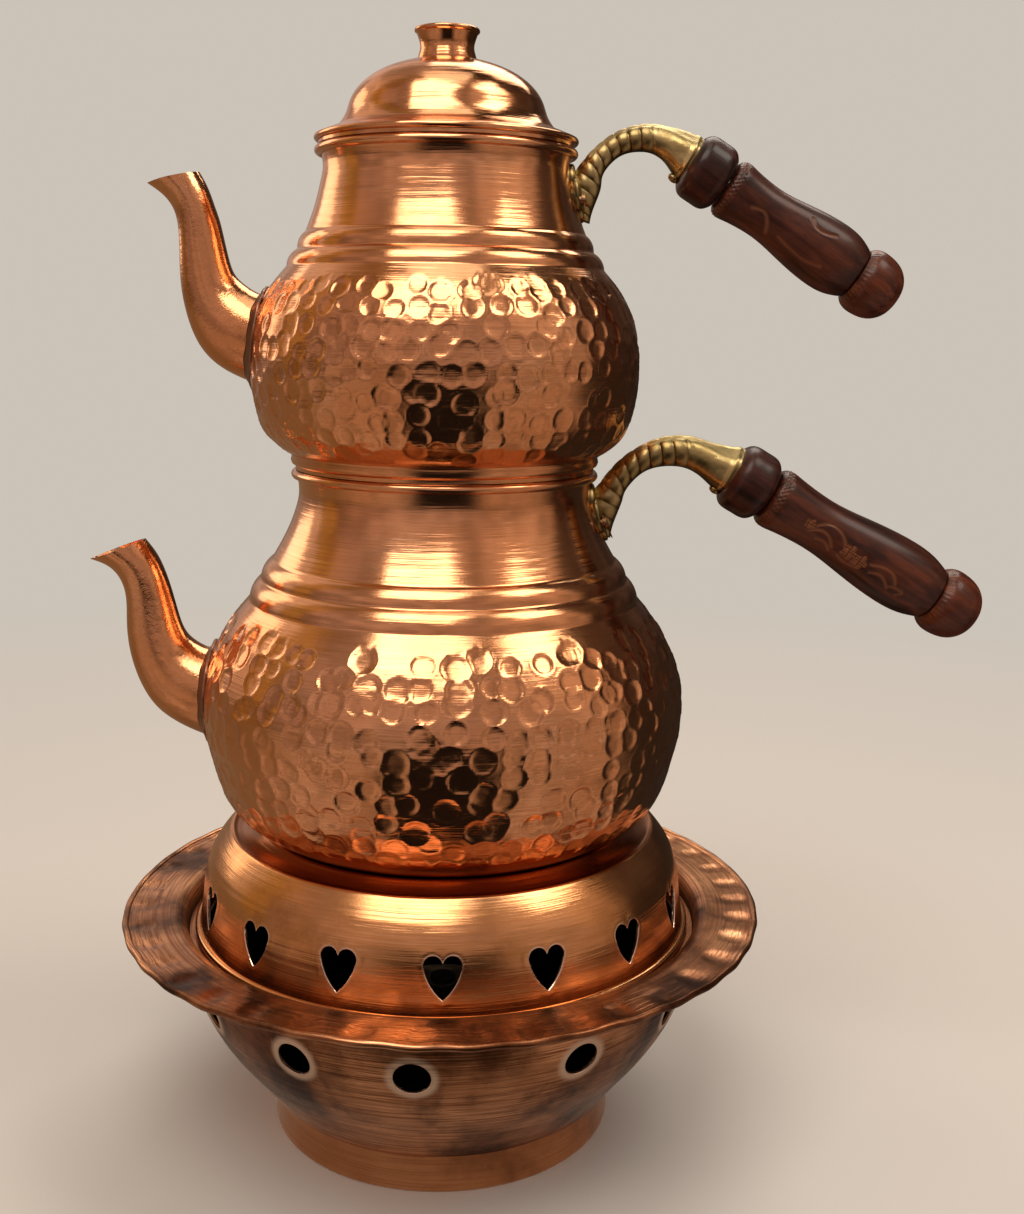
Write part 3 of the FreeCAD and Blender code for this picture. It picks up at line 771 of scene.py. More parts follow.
def spout(pot):
    """The tube, from just inside the pot's face to the tip, and the seam round its root."""
    outer = spout_rings(pot, 0.0)
    inner = spout_rings(pot, SHEET)
    chain = outline(pot["outline"])
    name = pot["name"]
    depth = inside_pot(outer, chain)
    start = max(0, int(np.argmax((depth < 2.5).any(axis=1))) - 1)
    rings = list(outer[start:]) + list(inner[start:][::-1])
    piece(name + "_spout_tube", skin(rings, closed=True), name + "_pot", COPPER_SMOOTH,
          [name + "_spout"])
    # where each line along the tube comes out of the pot
    root = []
    beyond = []
    for k in range(SPOUT_SEGMENTS):
        row = int(np.nonzero(depth[:, k] > 0)[0][-1])
        share = depth[row, k] / (depth[row, k] - depth[row + 1, k])
        root.append(outer[row, k] * (1 - share) + outer[row + 1, k] * share)
        beyond.append(outer[row + 2, k])
    root = np.array(root)
    up_tube = unit(np.array(beyond) - root)
    face = unit(root * FLAT)
    away = unit(np.cross(face, np.roll(root, -1, 0) - np.roll(root, 1, 0)))
    away *= np.sign(np.sum(away * (root - root.mean(0)), 1))[:, None]
    turn = np.arange(SPOUT_SEGMENTS) * TURN
    wobble = 1 + 0.12 * np.sin(turn * 5 / SPOUT_SEGMENTS) + 0.08 * np.sin(turn * 11 / SPOUT_SEGMENTS + 1)
    wobble = wobble[:, None]
    rings = []
    for lift, up, out in SEAM:
        rings.append(settled(root + face * lift + up_tube * up * wobble + away * out * wobble, chain, lift))
    piece(name + "_spout_seam", skin(rings, closed=True), name + "_pot", SOLDER,
          sharp=TURN)


def settled(ring, chain, lift):
    """Points moved in or out so that they stand at least lift over the pot's face."""
    need = inside_pot(ring, chain, lift)
    r = np.hypot(ring[:, 0], ring[:, 1])
    push = np.where(need > 0, need, 0)[:, None]
    return ring + push * (ring * FLAT / r[:, None])


# ---- brackets ----

def arm(pot):
    """The ribbed arm with its spine and flared socket."""
    start, _, across = wood_frame(pot)
    top = start + across * pot["socket_r"]
    low = start - across * pot["socket_r"]
    outer = pot["arm_outer"] + [(top[0], top[2])]
    inner = pot["arm_inner"] + [(low[0], low[2])]
    widths = [math.hypot(a[0] - b[0], a[1] - b[1]) * 0.94 for a, b in zip(outer, inner)]
    widths[:3] = [0.55 * ARM_ROOT_WIDTH, ARM_ROOT_WIDTH, ARM_ROOT_WIDTH]
    count = 260
    segments = 64
    middle, half, width = between(outer, inner, widths, count)
    chain = outline(pot["outline"])
    angle = np.arange(segments) * (TURN / segments)
    folded = np.degrees(np.abs((angle + math.pi) % TURN - math.pi))
    side = smooth(folded, 24, 44) * (1 - smooth(folded, 138, 164))
    spine = np.exp(-(folded / 15) ** 2)
    rings = []
    deep = []
    for k in range(count):
        t = k / (count - 1)
        ribs = 1 - smooth(t, 0.70, 0.78)
        lobe = abs(math.sin(math.pi * ARM_RIBS * t / 0.76)) ** 0.42
        flare = float(smooth(t, 0.80, 0.94))
        lip = math.exp(-((t - 0.975) / 0.014) ** 2) * 0.55
        facets = 0.25 * np.cos(6 * angle + 0.5) * flare
        swell = side * (0.62 * lobe - 0.40) * ribs + spine * (0.62 - 0.34 * (1 - lobe) * ribs)
        swell = swell + flare * 0.35 + facets + lip
        m, h, w = middle[k], half[k], width[k]
        tall = np.hypot(*h)
        unit = h / tall
        x = m[0] + unit[0] * (tall + swell) * np.cos(angle)
        z = m[1] + unit[1] * (tall + swell) * np.cos(angle)
        y = (w + swell) * np.sin(angle)
        ring = np.stack([x, y, z], 1)
        rings.append(settled(ring, chain, -0.5))
        # grime and painted shade in the creases between the ribs; painted shade on the flanks and under the
        # arm
        grime_and_painted_shade = side * (1 - lobe) ** 1.5 * ribs + smooth(folded, 140, 168) * 0.8 + 0.16 * side * ribs
        deep.append(np.clip(grime_and_painted_shade + 0.08, 0, 1))
    return capped(rings), np.concatenate([[0.5]] + deep + [[0.5]])


def blob(centre, sizes, slope=0.0, count=18, rows=12):
    """A small lump."""
    rings = [np.array([[0.0, 0.0, -1.0]])]
    for k in range(1, rows):
        a = -math.pi / 2 + math.pi * k / rows
        rings.append(circle_of(math.cos(a), math.sin(a), count))
    rings.append(np.array([[0.0, 0.0, 1.0]]))
    points, faces = skin(rings)
    points = points * np.array(sizes)
    c, s = math.cos(slope), math.sin(slope)
    x, y, z = points.T
    return np.stack([c * x + s * z, y, -s * x + c * z], 1) + np.array(centre), faces


def leaf_edge(pot):
    """The palmette's outline, (across, height), with its centre at the plate's middle."""
    half = [
        [(0, 9.6), (5.0, 7.6), (7.2, 2.0)],
        [(7.2, 2.0), (9.8, -3.5), (7.4, -7.0)],
        [(7.4, -7.0), (4.4, -5.6)],
        [(4.4, -5.6), (3.2, -9.2), (0, -10.6)],
    ]
    right = outline(half) * pot["plate_scale"]
    s = lengths(right)
    right = sample(right, s, np.linspace(0, s[-1], 49))
    left = right[1:-1][::-1] * np.array([-1, 1])
    return np.vstack([right, left])


def on_neck(chain, y, z, lift):
    """Points that stand lift out from the neck, on the handle's side."""
    radius = np.interp(z, chain[:, 1], chain[:, 0])
    x = np.sqrt(np.clip(radius ** 2 - y ** 2, 1, None)) + lift
    return np.stack([x, y, z], 1)


def leaf(pot):
    """The plate of the bracket: a domed palmette that lies on the neck."""
    chain = outline(pot["outline"])
    edge = leaf_edge(pot)
    angle = np.arctan2(edge[:, 1], edge[:, 0])
    veins = np.abs(np.sin(4.5 * (angle + math.pi / 2))) ** 0.6
    rings = []
    deep = []
    for rho in np.linspace(0.06, 1.0, 20):
        y = edge[:, 0] * rho
        z = pot["plate_z"] + edge[:, 1] * rho
        lift = PLATE * (1.12 - 0.55 * rho ** 3) * (0.72 + 0.28 * veins) * (1 - 0.35 * smooth(rho, 0.93, 1.0))
        rings.append(on_neck(chain, y, z, lift))
        # grime and painted shade between the veins and towards the plate's edge
        deep.append(np.clip(0.9 - veins + 0.3 * rho, 0, 1))
    # the back of the plate, against the neck, gets full painted shade
    for rho in (1.0, 0.5, 0.06):
        rings.append(on_neck(chain, edge[:, 0] * rho, pot["plate_z"] + edge[:, 1] * rho, -0.5))
        deep.append(np.ones(len(edge)))
    return capped(rings), np.concatenate([[0.2]] + deep + [[1.0]])


def petal(pot, y_top, y_tip, z_top, z_tip, width, lift_top, lift_tip):
    """A hanging lobe with a raised middle."""
    chain = outline(pot["outline"])
    segments = 28
    angle = np.arange(segments) * (TURN / segments)
    crease = 1 - 0.28 * np.exp(-((angle - math.pi / 2) / 0.28) ** 2)
    rings = []
    deep = []
    for t in np.linspace(0.02, 0.985, 26):
        shape = math.sin(math.pi * t ** 0.72) ** 0.6
        thick = 1.9 * shape * (1 - 0.35 * t)
        wide = width / 2 * shape
        y = y_top + (y_tip - y_top) * t + wide * np.cos(angle)
        z = np.full(segments, z_top + (z_tip - z_top) * t)
        lift = lift_top + (lift_tip - lift_top) * t ** 1.5 + thick * np.sin(angle) * crease
        rings.append(on_neck(chain, y, z, lift))
        # painted shade along the petal's flanks, down where it meets the neck
        deep.append(np.clip(1 - np.abs(np.sin(angle)), 0, 1) * 0.9)
    return capped(rings), np.concatenate([[0.6]] + deep + [[0.6]])


# The side petals: distance from the middle at the top and at the tip, height of both above the plate's
# middle, width, and how far the top and the tip stand out.
SIDE_PETALS = [(4.2, 6.4, 5.0, -8.2, 5.6, 1.6, 1.9), (6.6, 9.0, 4.0, -3.6, 3.8, 1.4, 1.2)]


def bracket(pot):
    """The cast bracket: ribbed arm, plate, petals and the lug under the socket."""
    size = pot["plate_scale"]
    z = pot["plate_z"]
    start, along, across = wood_frame(pot)
    corner = start - across * (pot["socket_r"] + 0.4) - along * 1.6
    lug = blob(corner, (2.3, 2.0, 1.5), math.radians(pot["wood_slope"]))
    parts = [arm(pot), leaf(pot), petal(pot, 0, 0, z + 6 * size, z - 9.9 * size, 7.0 * size, 2.2, 3.3)]
    for top, tip, high, low, width, lift_top, lift_tip in SIDE_PETALS:
        for side in (-size, size):
            parts.append(petal(pot, top * side, tip * side, z + high * size, z + low * size, width * size,
                               lift_top, lift_tip))
    parts.append((lug, np.full(len(lug[0]), 0.4)))
    name = pot["name"]
    piece(name + "_bracket_casting", joined(*[p[0] for p in parts]), name + "_pot", BRASS,
          [name + "_handle_bracket"], hollow=np.concatenate([p[1] for p in parts]))


# ---- wooden handles ----

def wood_frame(pot):
    """Start of the wood, its direction along the handle, and the direction across it and upwards."""
    slope = math.radians(pot["wood_slope"])
    x, z = pot["wood_start"]
    along = np.array([math.cos(slope), 0, -math.sin(slope)])
    across = np.array([math.sin(slope), 0, math.cos(slope)])
    return np.array([x, 0.0, z]), along, across


FRONT = np.array([0.0, -1.0, 0.0])


def wooden(pot, stretches, start, stretch, size, count, spacing, relief=None):
    """A piece turned about the handle's axis. relief(distance, angle, radius) stands out from it."""
    origin, along, across = wood_frame(pot)
    scaled = [[(d * stretch, r * size) for d, r in part] for part in stretches]
    angle = np.arange(count) * (TURN / count)
    rings = []
    deep = []
    for d, r in sampled(scaled, spacing, 0.08)[0]:
        if r < AXIS:
            rings.append((origin + along * (start + d))[None, :])
            deep.append(np.zeros(1))
            continue
        out, pale = relief(d, angle, r) if relief else np.zeros((2, count))
        reach = (r + out)[:, None]
        rings.append(origin + along * (start + d)
                     + reach * (np.cos(angle)[:, None] * FRONT + np.sin(angle)[:, None] * across))
        deep.append(pale)
    return skin(rings), np.concatenate(deep)


def stroke(points, x, y, width=0.55):
    """Nearness of (x, y) to a smooth line through the points, 1 on it."""
    line = spline(points, 40)
    gap = np.min(np.hypot(x[..., None] - line[:, 0], y[..., None] - line[:, 1]), -1)
    return np.exp(-(gap / width) ** 2)


def blossom(x, y, middle, size):
    """A small cross-hatched flower: how much it is cut, and how pale it is."""
    u, v = x - middle[0], y - middle[1]
    away = np.hypot(u, v)
    edge = size * (0.86 + 0.14 * np.cos(5 * np.arctan2(v, u)))
    inside = 1 - smooth(away, edge - 0.35, edge + 0.1)
    hatch = np.maximum(np.cos(TURN * u / 1.05), np.cos(TURN * v / 1.05)) ** 4
    return inside * (0.35 + 0.65 * hatch), inside * (1 - 0.8 * hatch)


def carving(pot):
    """Vines and flowers on both broad sides of the lower grip, plain curved lines on the upper one."""
    length = pot["grip_length"]
    if pot["name"] == "lower":
        lines = [
            [(0.26, -1.0), (0.33, 2.6), (0.40, 1.6), (0.455, -2.2)],
            [(0.25, -3.2), (0.31, -1.0), (0.36, -2.2), (0.39, -4.8)],
            [(0.60, -2.6), (0.67, -0.8), (0.73, -1.6), (0.765, -4.6)],
            [(0.62, -5.6), (0.67, -4.2), (0.71, -5.4), (0.74, -7.4)],
            [(0.74, -6.4), (0.78, -5.4), (0.82, -6.0), (0.80, -7.8)],
            [(0.30, -5.2), (0.35, -4.6), (0.39, -6.6)],
            [(0.44, -6.4), (0.48, -7.4), (0.54, -7.0)],
        ]
        flowers = [((0.475, -2.9), 3.5), ((0.545, -4.0), 3.4), ((0.235, -1.4), 2.5)]
    else:
        lines = [
            [(0.20, -2.6), (0.28, -1.6), (0.34, -5.0), (0.36, -7.6)],
            [(0.56, 6.4), (0.60, 4.2), (0.66, 3.8), (0.74, 5.4)],
            [(0.44, -6.2), (0.56, -7.6), (0.68, -8.0), (0.76, -6.6)],
        ]
        flowers = []

    def relief(d, angle, r):
        out = np.zeros(len(angle))
        pale = np.zeros(len(angle))
        for middle, way in ((0.0, 1.0), (math.pi, -1.0)):
            turn = ((angle - middle + math.pi) % TURN - math.pi) * way
            x = np.full(len(angle), float(d))
            y = turn * r
            for line in lines:
                cut = stroke([(px * length, py) for px, py in line], x, y)
                out -= 0.42 * cut
                pale = np.maximum(pale, 0.75 * cut)
            for (fx, fy), size in flowers:
                cut, patch = blossom(x, y, (fx * length, fy), size)
                out -= 0.42 * cut - 0.15 * patch
                pale = np.maximum(pale, patch)
        notch = math.exp(-((d - 0.038 * length) / 1.3) ** 2)
        out += notch * 0.28 * (np.cos(38 * angle) * math.cos(d * 3.0) - 0.4)
        pale = np.maximum(pale, 0.35 * notch * (0.5 + 0.5 * np.cos(38 * angle)))
        return out, pale
    return relief


def seam_notches(d, angle, r):
    """Fine notches at the end knob's seam edge."""
    edge = math.exp(-((d - 1.6) / 0.9) ** 2)
    return edge * 0.16 * np.cos(44 * angle), 0.3 * edge * (0.5 + 0.5 * np.cos(44 * angle))


def handle(pot):
    """Barrel, grip and end knob, with a small gap between them."""
    name = pot["name"]
    size = pot["wood_scale"]
    grip = pot["grip_length"]
    barrel = BARREL_LENGTH * size
    turnings = [
        ("barrel", BARREL, 0, size, 96, 0.70, None),
        ("grip", GRIP, barrel + WOOD_GAP, grip, 224, 0.40, carving(pot)),
        ("knob", KNOB_END, barrel + grip + 2 * WOOD_GAP, size, 144, 0.50, seam_notches),
    ]
    for part, stretches, start, stretch, count, spacing, relief in turnings:
        shell, pale = wooden(pot, stretches, start, stretch, size, count, spacing, relief)
        piece(name + "_" + part + "_turning", shell, name + "_pot", WOOD[name, part],
              [name + "_handle_" + part], hollow=pale)


def lid():
    shell = joined(turned(LID, spacing=0.6, count=300), bead(*LID_BEAD, count=300))
    piece("lid_dome_shell", shell, "lid", COPPER_SMOOTH, ["lid_dome"])
    piece("lid_knob_turning", solid_of(KNOB, spacing=0.45, count=96), "lid", COPPER_SMOOTH,
          ["lid_knob"])


# ---- materials ----

class Graph:
    """The node graph of a material or world, with sockets or plain values as inputs."""

    def __init__(self, owner, coordinates="Object"):
        owner.use_nodes = True
        self.owner = owner
        self.tree = owner.node_tree
        self.tree.nodes.clear()
        self.position = self.node("TexCoord", out=coordinates)

    def add(self, kind, inputs=(), **settings):
        made = self.tree.nodes.new("ShaderNode" + kind)
        for key, value in settings.items():
            setattr(made, key, value)
        for key, value in dict(inputs).items():
            if isinstance(value, bpy.types.NodeSocket):
                self.tree.links.new(value, made.inputs[key])
            else:
                made.inputs[key].default_value = value
        return made

    def node(self, kind, inputs=(), out=0, **settings):
        return self.add(kind, inputs, **settings).outputs[out]

    def end(self, shader, kind="OutputMaterial"):
        self.add(kind, {0: shader})
        return self.owner

    def math(self, operation, a, b=0.0, clamp=False):
        return self.node("Math", {0: a, 1: b}, operation=operation, use_clamp=clamp)

    def noise(self, vector, scale, detail=3.0, roughness=0.55):
        return self.node("TexNoise", {"Vector": vector, "Scale": scale, "Detail": detail,
                                      "Roughness": roughness}, "Fac")

    def spread(self, value, low, high, to_low=0.0, to_high=1.0):
        return self.node("MapRange", {"Value": value, "From Min": low, "From Max": high,
                                      "To Min": to_low, "To Max": to_high})

    def blend(self, share, a, b, kind="MIX"):
        a, b = ((*tone, 1.0) if isinstance(tone, tuple) else tone for tone in (a, b))
        return self.node("Mix", {0: share, 6: a, 7: b}, 2, data_type="RGBA", blend_type=kind)

    def attribute(self, name):
        return self.node("Attribute", out="Fac", attribute_name=name)

    def parts(self):
        """A point's coordinates, and its distance from the set's axis."""
        x, y, z = (self.node("SeparateXYZ", {0: self.position}, k) for k in range(3))
        squares = self.math("ADD", self.math("MULTIPLY", x, x), self.math("MULTIPLY", y, y))
        return x, y, z, self.math("SQRT", squares)

    def turned_lines(self, fine, long=9.0):
        """Coordinates that change fast along a turned outline and slowly round it."""
        x, y, z, r = self.parts()
        slow = self.math("MULTIPLY", self.math("ADD", x, self.math("MULTIPLY", y, 0.62)), long)
        return self.node("CombineXYZ", {0: self.math("MULTIPLY", r, fine),
                                        1: self.math("MULTIPLY", z, fine), 2: slow})

    def bump(self, height, strength, distance, normal=None):
        inputs = {"Height": height, "Strength": strength, "Distance": distance}
        if normal is not None:
            inputs["Normal"] = normal
        return self.node("Bump", inputs)

    def finish(self, **inputs):
        named = {key.replace("_", " "): value for key, value in inputs.items()}
        return self.end(self.node("BsdfPrincipled", named))


def material(name):
    return Graph(bpy.data.materials.new(name))


def copper(name, light, deep, stain, stained, rough, lines,
           edge=None, edge_from=(0.0, 1.0), edge_share=0.25, cove_shade_within=None):
    """Worked copper: tone that drifts, tarnish in patches, lathe or brush lines, fine pitting.
    The hollow attribute brings the edge tone, which on the pots is painted shade in the hammer marks and on
    the inner face, and below zero it brings soot.
    Within the radius given as the last argument, in metres, the sheet gets a painted shade in the stain's
    tone."""
    g = material(name)
    hollow = g.attribute("hollow")
    streaks = g.noise(g.turned_lines(1700, 34.0), 1.0, 3.0, 0.6)
    bands = g.noise(g.turned_lines(400, 16.0), 1.0, 3.0)
    drift = g.noise(g.position, 21.0, 4.0)
    patches = g.noise(g.position, 46.0, 6.0, 0.65)
    colour = g.blend(g.spread(drift, 0.36, 0.64), light, deep)
    colour = g.blend(g.spread(bands, 0.42, 0.70, 0.0, 0.45), colour, deep)
    colour = g.blend(g.spread(streaks, 0.46, 0.60, 0.0, 0.78 * lines), colour, deep)
    clouded = g.math("ADD", patches, g.spread(drift, 0.40, 0.66, -0.10 * stained, 0.10 * stained))
    tarnish = g.spread(clouded, 0.60 - 0.16 * stained, 0.78 - 0.08 * stained, 0.0, 0.25 + 0.6 * stained)
    colour = g.blend(tarnish, colour, stain)
    colour = g.blend(g.spread(hollow, *edge_from, 0.0, edge_share), colour, edge or deep)
    # painted shade: inside this radius, on the cover's cove and seat under the pot's belly, the stain tone
    # darkens the sheet
    if cove_shade_within:
        cove_shade = g.spread(g.parts()[3], cove_shade_within, cove_shade_within - 0.002, 0.0, 0.8)
        colour = g.blend(cove_shade, colour, stain)
    soot = g.spread(hollow, -0.1, -0.8)
    colour = g.blend(g.math("MULTIPLY", soot, 0.97), colour, (0.012, 0.009, 0.008))
    uneven = g.spread(g.math("ADD", g.math("MULTIPLY", streaks, 0.55), g.math("MULTIPLY", patches, 0.45)),
                      0.35, 0.65, *rough)
    uneven = g.math("ADD", uneven, g.math("MULTIPLY", soot, 0.5))
    normal = g.bump(bands, lines, 0.00024)
    normal = g.bump(streaks, lines, 0.00008, normal)
    normal = g.bump(g.noise(g.position, 900.0, 2.0), 0.35 * lines, 0.00004, normal)
    return g.finish(Base_Color=colour, Metallic=1.0, Roughness=uneven, Normal=normal)


def brass():
    g = material("cast brass")
    hollow = g.attribute("hollow")
    mottle = g.noise(g.position, 240.0, 5.0, 0.6)
    broad = g.noise(g.position, 70.0, 3.0)
    colour = g.blend(g.spread(broad, 0.38, 0.62), (0.66, 0.52, 0.24), (0.47, 0.36, 0.15))
    colour = g.blend(g.spread(mottle, 0.50, 0.75, 0.0, 0.5), colour, (0.26, 0.165, 0.065))
    # grime and painted shade where hollow is high: the bracket's creases, flanks, underside and its back on
    # the neck
    grime_and_painted_shade = g.math("MULTIPLY", g.spread(hollow, 0.10, 0.85), 0.88, True)
    colour = g.blend(grime_and_painted_shade, colour, (0.060, 0.040, 0.018))
    rough = g.spread(mottle, 0.3, 0.7, 0.24, 0.42)
    normal = g.bump(mottle, 0.5, 0.00035)
    normal = g.bump(g.noise(g.position, 1400.0, 2.0), 0.3, 0.00005, normal)
    return g.finish(Base_Color=colour, Metallic=1.0, Roughness=rough, Normal=normal)


def wood(name, slope, light, dark):
    """Lacquered wood with its grain along the handle; cuts show paler."""
    g = material(name)
    lying = g.node("VectorRotate", {"Vector": g.position, "Axis": (0, 1, 0), "Angle": -math.radians(slope)},
                   rotation_type="AXIS_ANGLE")
    grain_at = g.node("VectorMath", {0: lying, 1: (22.0, 260.0, 260.0)}, operation="MULTIPLY")
    grain = g.noise(grain_at, 1.0, 5.0, 0.6)
    pores_at = g.node("VectorMath", {0: lying, 1: (140.0, 1500.0, 1500.0)}, operation="MULTIPLY")
    pores = g.noise(pores_at, 1.0, 2.0)
    cloud = g.noise(g.position, 60.0, 3.0)
    colour = g.blend(g.spread(grain, 0.36, 0.66), dark, light)
    colour = g.blend(g.spread(cloud, 0.48, 0.70, 0.0, 0.65), colour, dark)
    colour = g.blend(g.spread(pores, 0.60, 0.72, 0.0, 0.5), colour, (0.012, 0.005, 0.003))
    colour = g.blend(g.math("MULTIPLY", g.attribute("hollow"), 0.85), colour, (0.22, 0.072, 0.024))
    rough = g.spread(grain, 0.3, 0.7, 0.30, 0.46)
    normal = g.bump(grain, 0.25, 0.00025)
    normal = g.bump(pores, 0.20, 0.00010, normal)
    return g.finish(Base_Color=colour, Roughness=rough, Normal=normal, Coat_Weight=0.28, Coat_Roughness=0.20,
                    Specular_IOR_Level=0.26)


def plain_metal(name, colour, dark, rough):
    """Small inner metal pieces: drawn metal with handling marks."""
    g = material(name)
    marks = g.noise(g.position, 180.0, 5.0, 0.6)
    tone = g.blend(g.spread(marks, 0.40, 0.70), colour, dark)
    normal = g.bump(g.noise(g.turned_lines(1500), 1.0, 2.0), 0.4, 0.00005)
    return g.finish(Base_Color=tone, Metallic=1.0, Roughness=g.spread(marks, 0.3, 0.7, *rough), Normal=normal)


def cotton():
    g = material("cotton wick")
    strands_at = g.node("VectorMath", {0: g.position, 1: (900.0, 900.0, 260.0)}, operation="MULTIPLY")
    strands = g.noise(strands_at, 1.0)
    char = g.spread(g.node("SeparateXYZ", {0: g.position}, 2), 0.048, 0.0505)
    tone = g.blend(g.spread(strands, 0.35, 0.65), (0.62, 0.56, 0.44), (0.42, 0.36, 0.27))
    tone = g.blend(char, tone, (0.03, 0.027, 0.024))
    return g.finish(Base_Color=tone, Roughness=0.95, Normal=g.bump(strands, 0.8, 0.0006))


COPPER = copper(
    "beaten copper", light=(0.95, 0.51, 0.27), deep=(0.84, 0.38, 0.17), stain=(0.40, 0.16, 0.08),
    stained=0.14, rough=(0.10, 0.20), lines=0.60)
COPPER_SMOOTH = copper(
    "polished copper", light=(0.95, 0.50, 0.26), deep=(0.84, 0.37, 0.16), stain=(0.40, 0.15, 0.07),
    stained=0.12, rough=(0.08, 0.18), lines=0.60)
# the cover's top inside 79.5 mm gets a painted shade, under the lower pot's belly
COVER_COPPER = copper(
    "cover copper", light=(0.92, 0.48, 0.23), deep=(0.76, 0.35, 0.13), stain=(0.30, 0.12, 0.06),
    stained=0.38, rough=(0.13, 0.26), lines=0.75,
    edge=(1.0, 0.74, 0.58), edge_from=(0.74, 0.92), edge_share=0.9, cove_shade_within=0.0795)
BOWL_COPPER = copper(
    "brushed copper", light=(1.00, 0.52, 0.27), deep=(0.30, 0.110, 0.045), stain=(0.040, 0.018, 0.011),
    stained=1.10, rough=(0.24, 0.40), lines=1.15,
    edge=(1.0, 0.76, 0.58), edge_from=(0.05, 0.60), edge_share=0.85)
FOOT_COPPER = copper(
    "foot copper", light=(0.72, 0.33, 0.155), deep=(0.46, 0.185, 0.080), stain=(0.14, 0.055, 0.028),
    stained=0.50, rough=(0.20, 0.32), lines=0.75)
SOLDER = copper(
    "soldered copper", light=(0.60, 0.33, 0.22), deep=(0.34, 0.19, 0.13), stain=(0.10, 0.07, 0.06),
    stained=0.70, rough=(0.28, 0.45), lines=0.30)
RIVET_COPPER = copper(
    "rivet copper", light=(0.50, 0.31, 0.16), deep=(0.34, 0.20, 0.10), stain=(0.10, 0.06, 0.04),
    stained=0.50, rough=(0.25, 0.40), lines=0.30)
BRASS = brass()
BURNER_BRASS = plain_metal("smoked brass", (0.16, 0.115, 0.055), (0.05, 0.038, 0.022), (0.42, 0.60))
STEEL = plain_metal("steel", (0.56, 0.56, 0.57), (0.33, 0.33, 0.34), (0.25, 0.42))
COTTON = cotton()
WOOD_TONES = {
    "barrel": ((0.058, 0.012, 0.006), (0.012, 0.0035, 0.003)),
    "grip": ((0.105, 0.024, 0.009), (0.018, 0.0045, 0.003)),
    "knob": ((0.170, 0.036, 0.010), (0.040, 0.008, 0.0035)),
}
WOOD = {}
for pot in (LOWER_POT, UPPER_POT):
    for part, tones in WOOD_TONES.items():
        WOOD[pot["name"], part] = wood(f"{pot['name']} {part} wood", pot["wood_slope"], *tones)
# Nodes that keep their CAD shape and only get a material.
CARRIED_OVER = {
    "cover_seat_ring": FOOT_COPPER,
    "burner_cup": BURNER_BRASS,
    "burner_top": BURNER_BRASS,
    "burner_wick": COTTON,
    "lower_pot_base": COPPER_SMOOTH,
    "upper_pot_base": COPPER_SMOOTH,
    "lid_collar": COPPER_SMOOTH,
    "lid_screw": STEEL,
    "lower_handle_rivets": RIVET_COPPER,
    "upper_handle_rivets": RIVET_COPPER,
    "lower_handle_rod": STEEL,
    "upper_handle_rod": STEEL,
}


def carried_over():
    for name, material in CARRIED_OVER.items():
        node = frame["nodes"][name]
        for slot_of in node.material_slots:
            slot_of.link = "OBJECT"
            slot_of.material = material


# ---- studio ----

BACKDROP = (0.600, 0.548, 0.480)


def stage_plane(name, side, height, material):
    mesh = bpy.data.meshes.new(name)
    corners = [(-side, -side, height), (side, -side, height), (side, side, height), (-side, side, height)]
    mesh.from_pydata(corners, [], [(0, 1, 2, 3)])
    obj = bpy.data.objects.new(name, mesh)
    bpy.context.scene.collection.objects.link(obj)
    mesh.materials.append(material)
    return obj


def floor():
    """A pale floor that runs out into the backdrop's tone, and the darker table that the metal mirrors."""
    g = material("studio floor")
    away = g.parts()[3]
    tone = g.blend(g.noise(g.position, 3.0), (0.70, 0.685, 0.66), (0.73, 0.715, 0.69))
    surface = g.node("BsdfDiffuse", {"Color": tone})
    beyond = g.node("Emission", {"Color": (*BACKDROP, 1.0)})
    mixed = g.node("MixShader", {0: g.spread(away, 0.30, 1.10), 1: surface, 2: beyond})
    pale = stage_plane("studio_floor", 9.0, 0.0, g.end(mixed))
    pale.visible_glossy = False

    g = material("mirrored table")
    x, y, _, away = g.parts()
    bearing = g.math("ARCTAN2", x, g.math("MULTIPLY", y, -1.0))
    aside = g.math("ABSOLUTE", bearing)
    near = (0.26, 0.195, 0.150)
    dark = (0.012, 0.010, 0.009)
    peach = (0.52, 0.37, 0.29)
    worn = (0.18, 0.125, 0.098)
    patchy = g.noise(g.position, 9.0, 3.0)
    ragged = g.math("ADD", aside, g.spread(patchy, 0.3, 0.7, -0.22, 0.22))
    bright = g.blend(g.spread(patchy, 0.42, 0.60), peach, worn)
    open_side = g.blend(g.spread(ragged, 0.36, 0.50), dark, bright)
    behind = g.blend(g.spread(x, -0.25, 0.10), (0.22, 0.15, 0.09), (0.030, 0.023, 0.018))
    round_it = g.blend(g.spread(aside, 1.25, 1.60), open_side, behind)
    tone = g.blend(g.spread(away, 0.150, 0.185), near, round_it)
    table = stage_plane("mirrored_table", 2.5, -0.0004, g.end(g.node("Emission", {"Color": tone})))
    for seen_by in ("camera", "diffuse", "transmission", "volume_scatter", "shadow"):
        setattr(table, "visible_" + seen_by, False)


def ramp(g, value, stops):
    """Tones along a value from 0 to 1, as (place, tone)."""
    made = g.add("ValToRGB", {0: value})
    first, last = made.color_ramp.elements
    first.position, first.color = stops[0][0], (*stops[0][1], 1)
    last.position, last.color = stops[-1][0], (*stops[-1][1], 1)
    for at, tone in stops[1:-1]:
        made.color_ramp.elements.new(at).color = (*tone, 1)
    return made.outputs[0]


